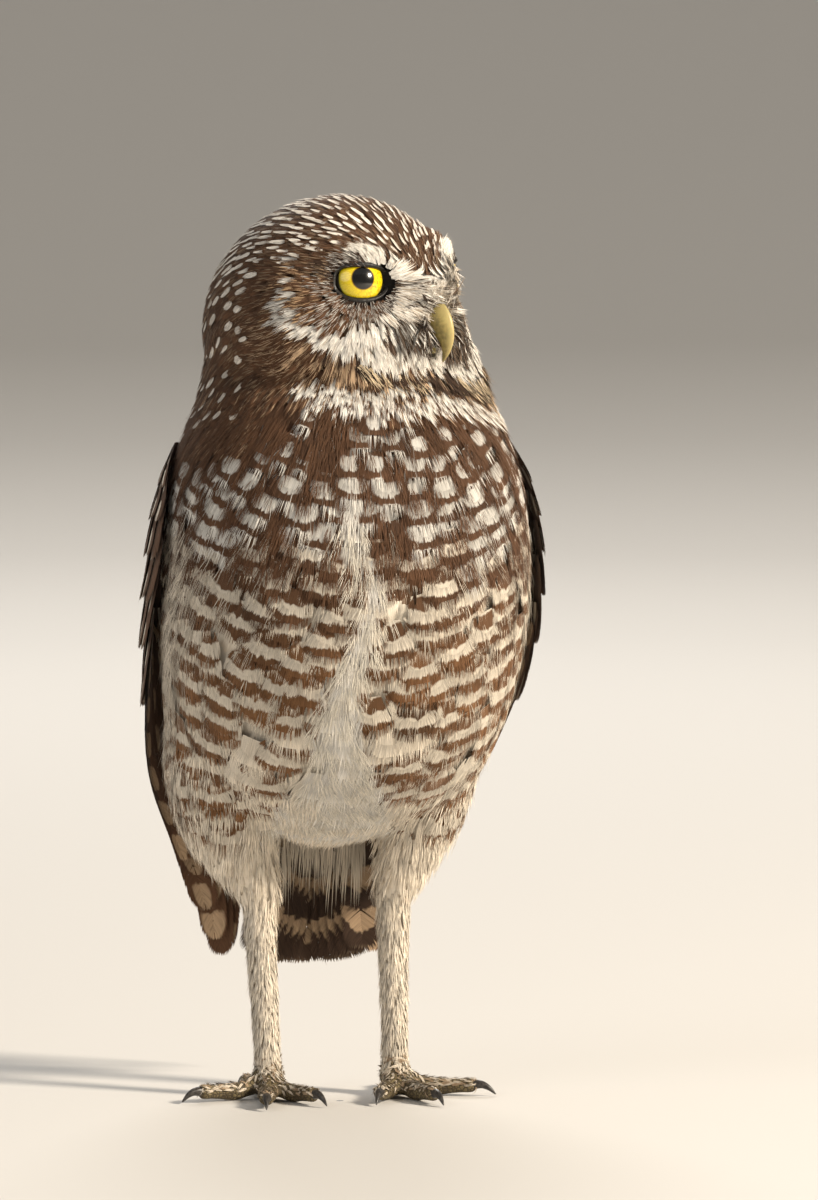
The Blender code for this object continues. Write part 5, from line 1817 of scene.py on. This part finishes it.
TAIL_ROOT = np.array([0, 0.0350 + BED_SHIFT, 0.100])
TAIL_TIP = np.array([0, 0.0560 + BED_SHIFT, 0.0325])
TAIL_ALONG = TAIL_TIP - TAIL_ROOT
TAIL_OUT = unit(np.array([0, -TAIL_ALONG[2], TAIL_ALONG[1]]))
# One side from the middle pair outwards: how far the line of each feather lies aside at the
# root and at the tip, and how much shorter it is.
TAIL_FEATHERS = (
    (0.0012, 0.0018, 0.0000), (0.0041, 0.0066, 0.0006), (0.0048, 0.0088, 0.0014),
    (0.0055, 0.0110, 0.0024), (0.0062, 0.0131, 0.0038), (0.0069, 0.0150, 0.0058),
)
TAIL_HALF_WIDTH = 0.0058
TAIL_STEP = 0.0009  # how far each feather lies under the one before
COVERT_HALF_WIDTH = 0.0042


def tail_rows(sign, rank):
    root_aside, tip_aside, shorter = TAIL_FEATHERS[rank]
    layer = rank + 1 if rank or sign < 0 else 0
    reach = 1 - shorter / np.linalg.norm(TAIL_ALONG)

    def place_at(share, way):
        aside = sign * (root_aside + (tip_aside - root_aside) * share)
        middle = TAIL_ROOT + TAIL_ALONG * (share * reach) - TAIL_OUT * TAIL_STEP * layer
        return middle + np.array([aside + way * TAIL_HALF_WIDTH, 0, 0])

    return vane_rows(9, place_at)


def tail_covert_rows(aside, first, tip, lift_root, lift_tip):
    def place_at(share, way):
        middle = TAIL_ROOT + TAIL_ALONG * (first + (tip - first) * share)
        middle = middle + TAIL_OUT * (lift_root + (lift_tip - lift_root) * share)
        return middle + np.array([aside + way * COVERT_HALF_WIDTH, 0, 0])

    return vane_rows(6, place_at)


rows = [tail_rows(sign, rank) for rank in range(6) for sign in (-1, 1)]
beds = np.array(rows)[:, :, ::-1]
outs = np.broadcast_to(TAIL_OUT, beds[:, :, 1].shape)
vane_piece(
    "tail_feathers", beds, outs, (DARK_BROWN, BUFF * 0.8, (0, 0.75, 0)), {
        "barbs": 100, "pitch": 0.0125, "slant": 0.11, "first": 0.01, "shoulder": 0.92,
        "straight": 0.84,
    }, 71, "brown_plumage", "tail",
)
draw = np.random.default_rng(72)
for word, out, colours in (
    # The coverts below the tail are cream painted darker, as painted shade.
    ("under", -1, (CREAM * 0.75, BROWN, (0, 0, 0))),
    ("upper", 1, (BROWN, CREAM, (0.6, 0, 0))),
):
    rows = []
    for first, tip in ((0.30, 0.70), (0.20, 0.58), (0.10, 0.46)):
        for aside in np.linspace(-0.0092, 0.0092, 5):
            lifts = (-0.0050, -0.0080) if out < 0 else (0.0006, 0.0016)
            rows.append(tail_covert_rows(
                aside + draw.normal(0, 0.0008), first, tip + draw.normal(0, 0.05),
                lifts[0] - out * 0.0002, lifts[1],
            ))
    beds = np.array(rows)[:, :, :: -out]
    outs = np.broadcast_to(TAIL_OUT * out, beds[:, :, 1].shape)
    vane_piece(
        f"tail_coverts_{word}", beds, outs, colours, {
            "barbs": 34, "stations": (0, 0.45, 0.8, 1), "blade": 0.52, "pitch": 0.011,
            "slant": 0.60, "first": 0.0, "fan": 0.55, "loose": 0.8, "camber": 0.0010, "taper": 3.0,
            "ragged": 0.9, "web": 0.6, "web_end": 0.6,
        }, 73 + out, "brown_plumage", "tail",
    )


# ------------------------------------------------------------------ the dye of the skin
# The skin shows between the feathers, so it has their colours and marks: each of its faces
# takes those of the nearest feather. The toes are bare olive skin with small scales.

BARE_RIM = 0.0122  # how far from each eye's middle the skin is black
RIM_BLACK = (0.012, 0.010, 0.009)
every = {
    key: np.concatenate([tract[key] for tract in laid])
    for key in ("beds", "length", "width", "pitch", "ground", "mark", "marks", "mixed")
}
corners = skin_points[np.array(form_faces)]
centres = corners.mean(1)
by_place = tree_of(every["beds"][:, 3, 1])
nearest = np.array([by_place.find(place)[1] for place in centres.tolist()])
beds, length, width, pitch = (every[key][nearest] for key in ("beds", "length", "width", "pitch"))
way = unit(beds[:, -1, 1] - beds[:, 0, 1])
across = unit(beds[:, 2, 2] - beds[:, 2, 0])
from_root = corners - beds[:, 0, 1][:, None]
run = np.sum(from_root * way[:, None], 2) / length[:, None]
aside = np.sum(from_root * across[:, None], 2) / (width / 2)[:, None]
seen = 1 - (1 - run) * (length / pitch)[:, None]
bare_rim = eye_distance(centres) < BARE_RIM
skin.data.uv_layers.new(name="vane").uv.foreach_set(
    "vector", np.stack([aside, seen], -1).ravel().astype(np.float32)
)
for title in ("ground", "mark", "marks"):
    found = skin.data.attributes.new(title, "FLOAT_VECTOR", "FACE")
    dyes = every[title][nearest]
    dyes[bare_rim] = (0.0, 0.0, 0.0) if title == "marks" else RIM_BLACK
    found.data.foreach_set("vector", dyes.ravel())
for title, number in (("strand", np.full(len(nearest), 0.5)), ("mixed", every["mixed"][nearest])):
    skin.data.attributes.new(title, "FLOAT", "FACE").data.foreach_set("value", number)


def toe_finish():
    material, paint, shader = new_finish("toe skin", {"Specular IOR Level": 0.3, "Roughness": 0.65})
    place = paint.place()
    scales = paint.node("ShaderNodeTexVoronoi", {"feature": "DISTANCE_TO_EDGE"}, {
        "Vector": place, "Scale": 950.0,
    })
    crease = scales.smooth(0.02, 0.22)
    tone = paint.noise(place, 260.0, 3.0).smooth(0.35, 0.65)
    olive = tone.blend((0.105, 0.078, 0.038, 1), (0.235, 0.185, 0.095, 1))
    crease.blend((0.060, 0.045, 0.028, 1), olive).into(shader, "Base Color")
    crease.bump(0.6, 0.0002).into(shader, "Normal")
    return material


skin.data.materials.clear()
skin.data.materials.append(plumage)
skin.data.materials.append(toe_finish())
bare_toes = (centres[:, 2] < BARE_FOOT - 0.001).astype(np.int32)
skin.data.polygons.foreach_set("material_index", bare_toes)
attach(skin, "root")
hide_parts(*FLESH)


# ------------------------------------------------------------------ studio
# A plain pale floor, a broad warm light from the bird's left front, a weaker cool one from its
# right, and a camera at eye level with the breast.

FLOOR_FLAT = 1.7  # the radius of the flat floor, which then curves up all round
FLOOR_CURVE = 6.5
FLOOR_STEPS = 24
STEP_DEGREES = 3.5
floor_profile = [(0.001, 0.0), (FLOOR_FLAT, 0.0)]
for step in range(1, FLOOR_STEPS + 1):
    climb = math.radians(STEP_DEGREES * step)
    floor_profile.append((
        FLOOR_FLAT + FLOOR_CURVE * math.sin(climb), FLOOR_CURVE * (1 - math.cos(climb))
    ))
floor_shape = bmesh.new()
for reach, height in floor_profile:
    floor_shape.verts.new((reach, 0, height))
floor_shape.verts.ensure_lookup_table()
for low, high in zip(floor_shape.verts[:-1], floor_shape.verts[1:]):
    floor_shape.edges.new((low, high))
bmesh.ops.spin(
    floor_shape, geom=floor_shape.verts[:] + floor_shape.edges[:], axis=(0, 0, 1),
    cent=(0, 0, 0), angle=2 * math.pi, steps=96, use_merge=True,
)
floor = bpy.data.objects.new("floor", smooth_mesh_from(floor_shape, "floor"))
bpy.context.scene.collection.objects.link(floor)
floor_grey = {"Roughness": 0.9, "Base Color": (0.66, 0.64, 0.61, 1)}
floor.data.materials.append(new_finish("floor", floor_grey)[0])

world = bpy.data.worlds.new("studio")
bpy.context.scene.world = world
world.use_nodes = True
background = world.node_tree.nodes["Background"]
background.inputs["Color"].default_value = (0.68, 0.66, 0.63, 1)
background.inputs["Strength"].default_value = 0.50

CAMERA_TURN = math.radians(-12)
CAMERA_RISE = math.radians(4)
CAMERA_AWAY = 2.6
VIEW_HEIGHT = 0.324  # how much of the bird's plane the picture takes in
aim = Vector((0, 0, 0.136)) + 0.0187 * Vector((math.cos(CAMERA_TURN), math.sin(CAMERA_TURN), 0))
from_bird = Vector((
    math.sin(CAMERA_TURN) * math.cos(CAMERA_RISE),
    -math.cos(CAMERA_TURN) * math.cos(CAMERA_RISE),
    math.sin(CAMERA_RISE),
))


def aimed(thing, place, target):
    thing.location = place
    thing.rotation_euler = (Vector(target) - Vector(place)).to_track_quat("-Z", "Y").to_euler()
    bpy.context.scene.collection.objects.link(thing)
    return thing


def soft_light(name, place, size, power, colour):
    light = bpy.data.lights.new(name, "AREA")
    light.shape = "DISK"
    light.size = size
    light.energy = power
    light.color = colour
    return aimed(bpy.data.objects.new(name, light), place, (0, 0, 0.14))


soft_light("sun_side", (1.6, -1.2, 1.2), 0.4, 84, (1.0, 0.89, 0.74))
soft_light("sky_side", (-1.6, -1.0, 1.0), 1.4, 9, (0.95, 0.97, 1.0))
soft_light("behind", (0.3, 1.8, 1.4), 1.0, 22, (1.0, 0.97, 0.93))

lens = bpy.data.cameras.new("camera")
lens.sensor_width = 36
lens.lens = 36 * CAMERA_AWAY / VIEW_HEIGHT
lens.clip_start = 0.1
lens.clip_end = 60
camera = aimed(bpy.data.objects.new("camera", lens), aim + from_bird * CAMERA_AWAY, aim)
bpy.context.scene.camera = camera
bpy.context.scene.view_settings.view_transform = "Standard"
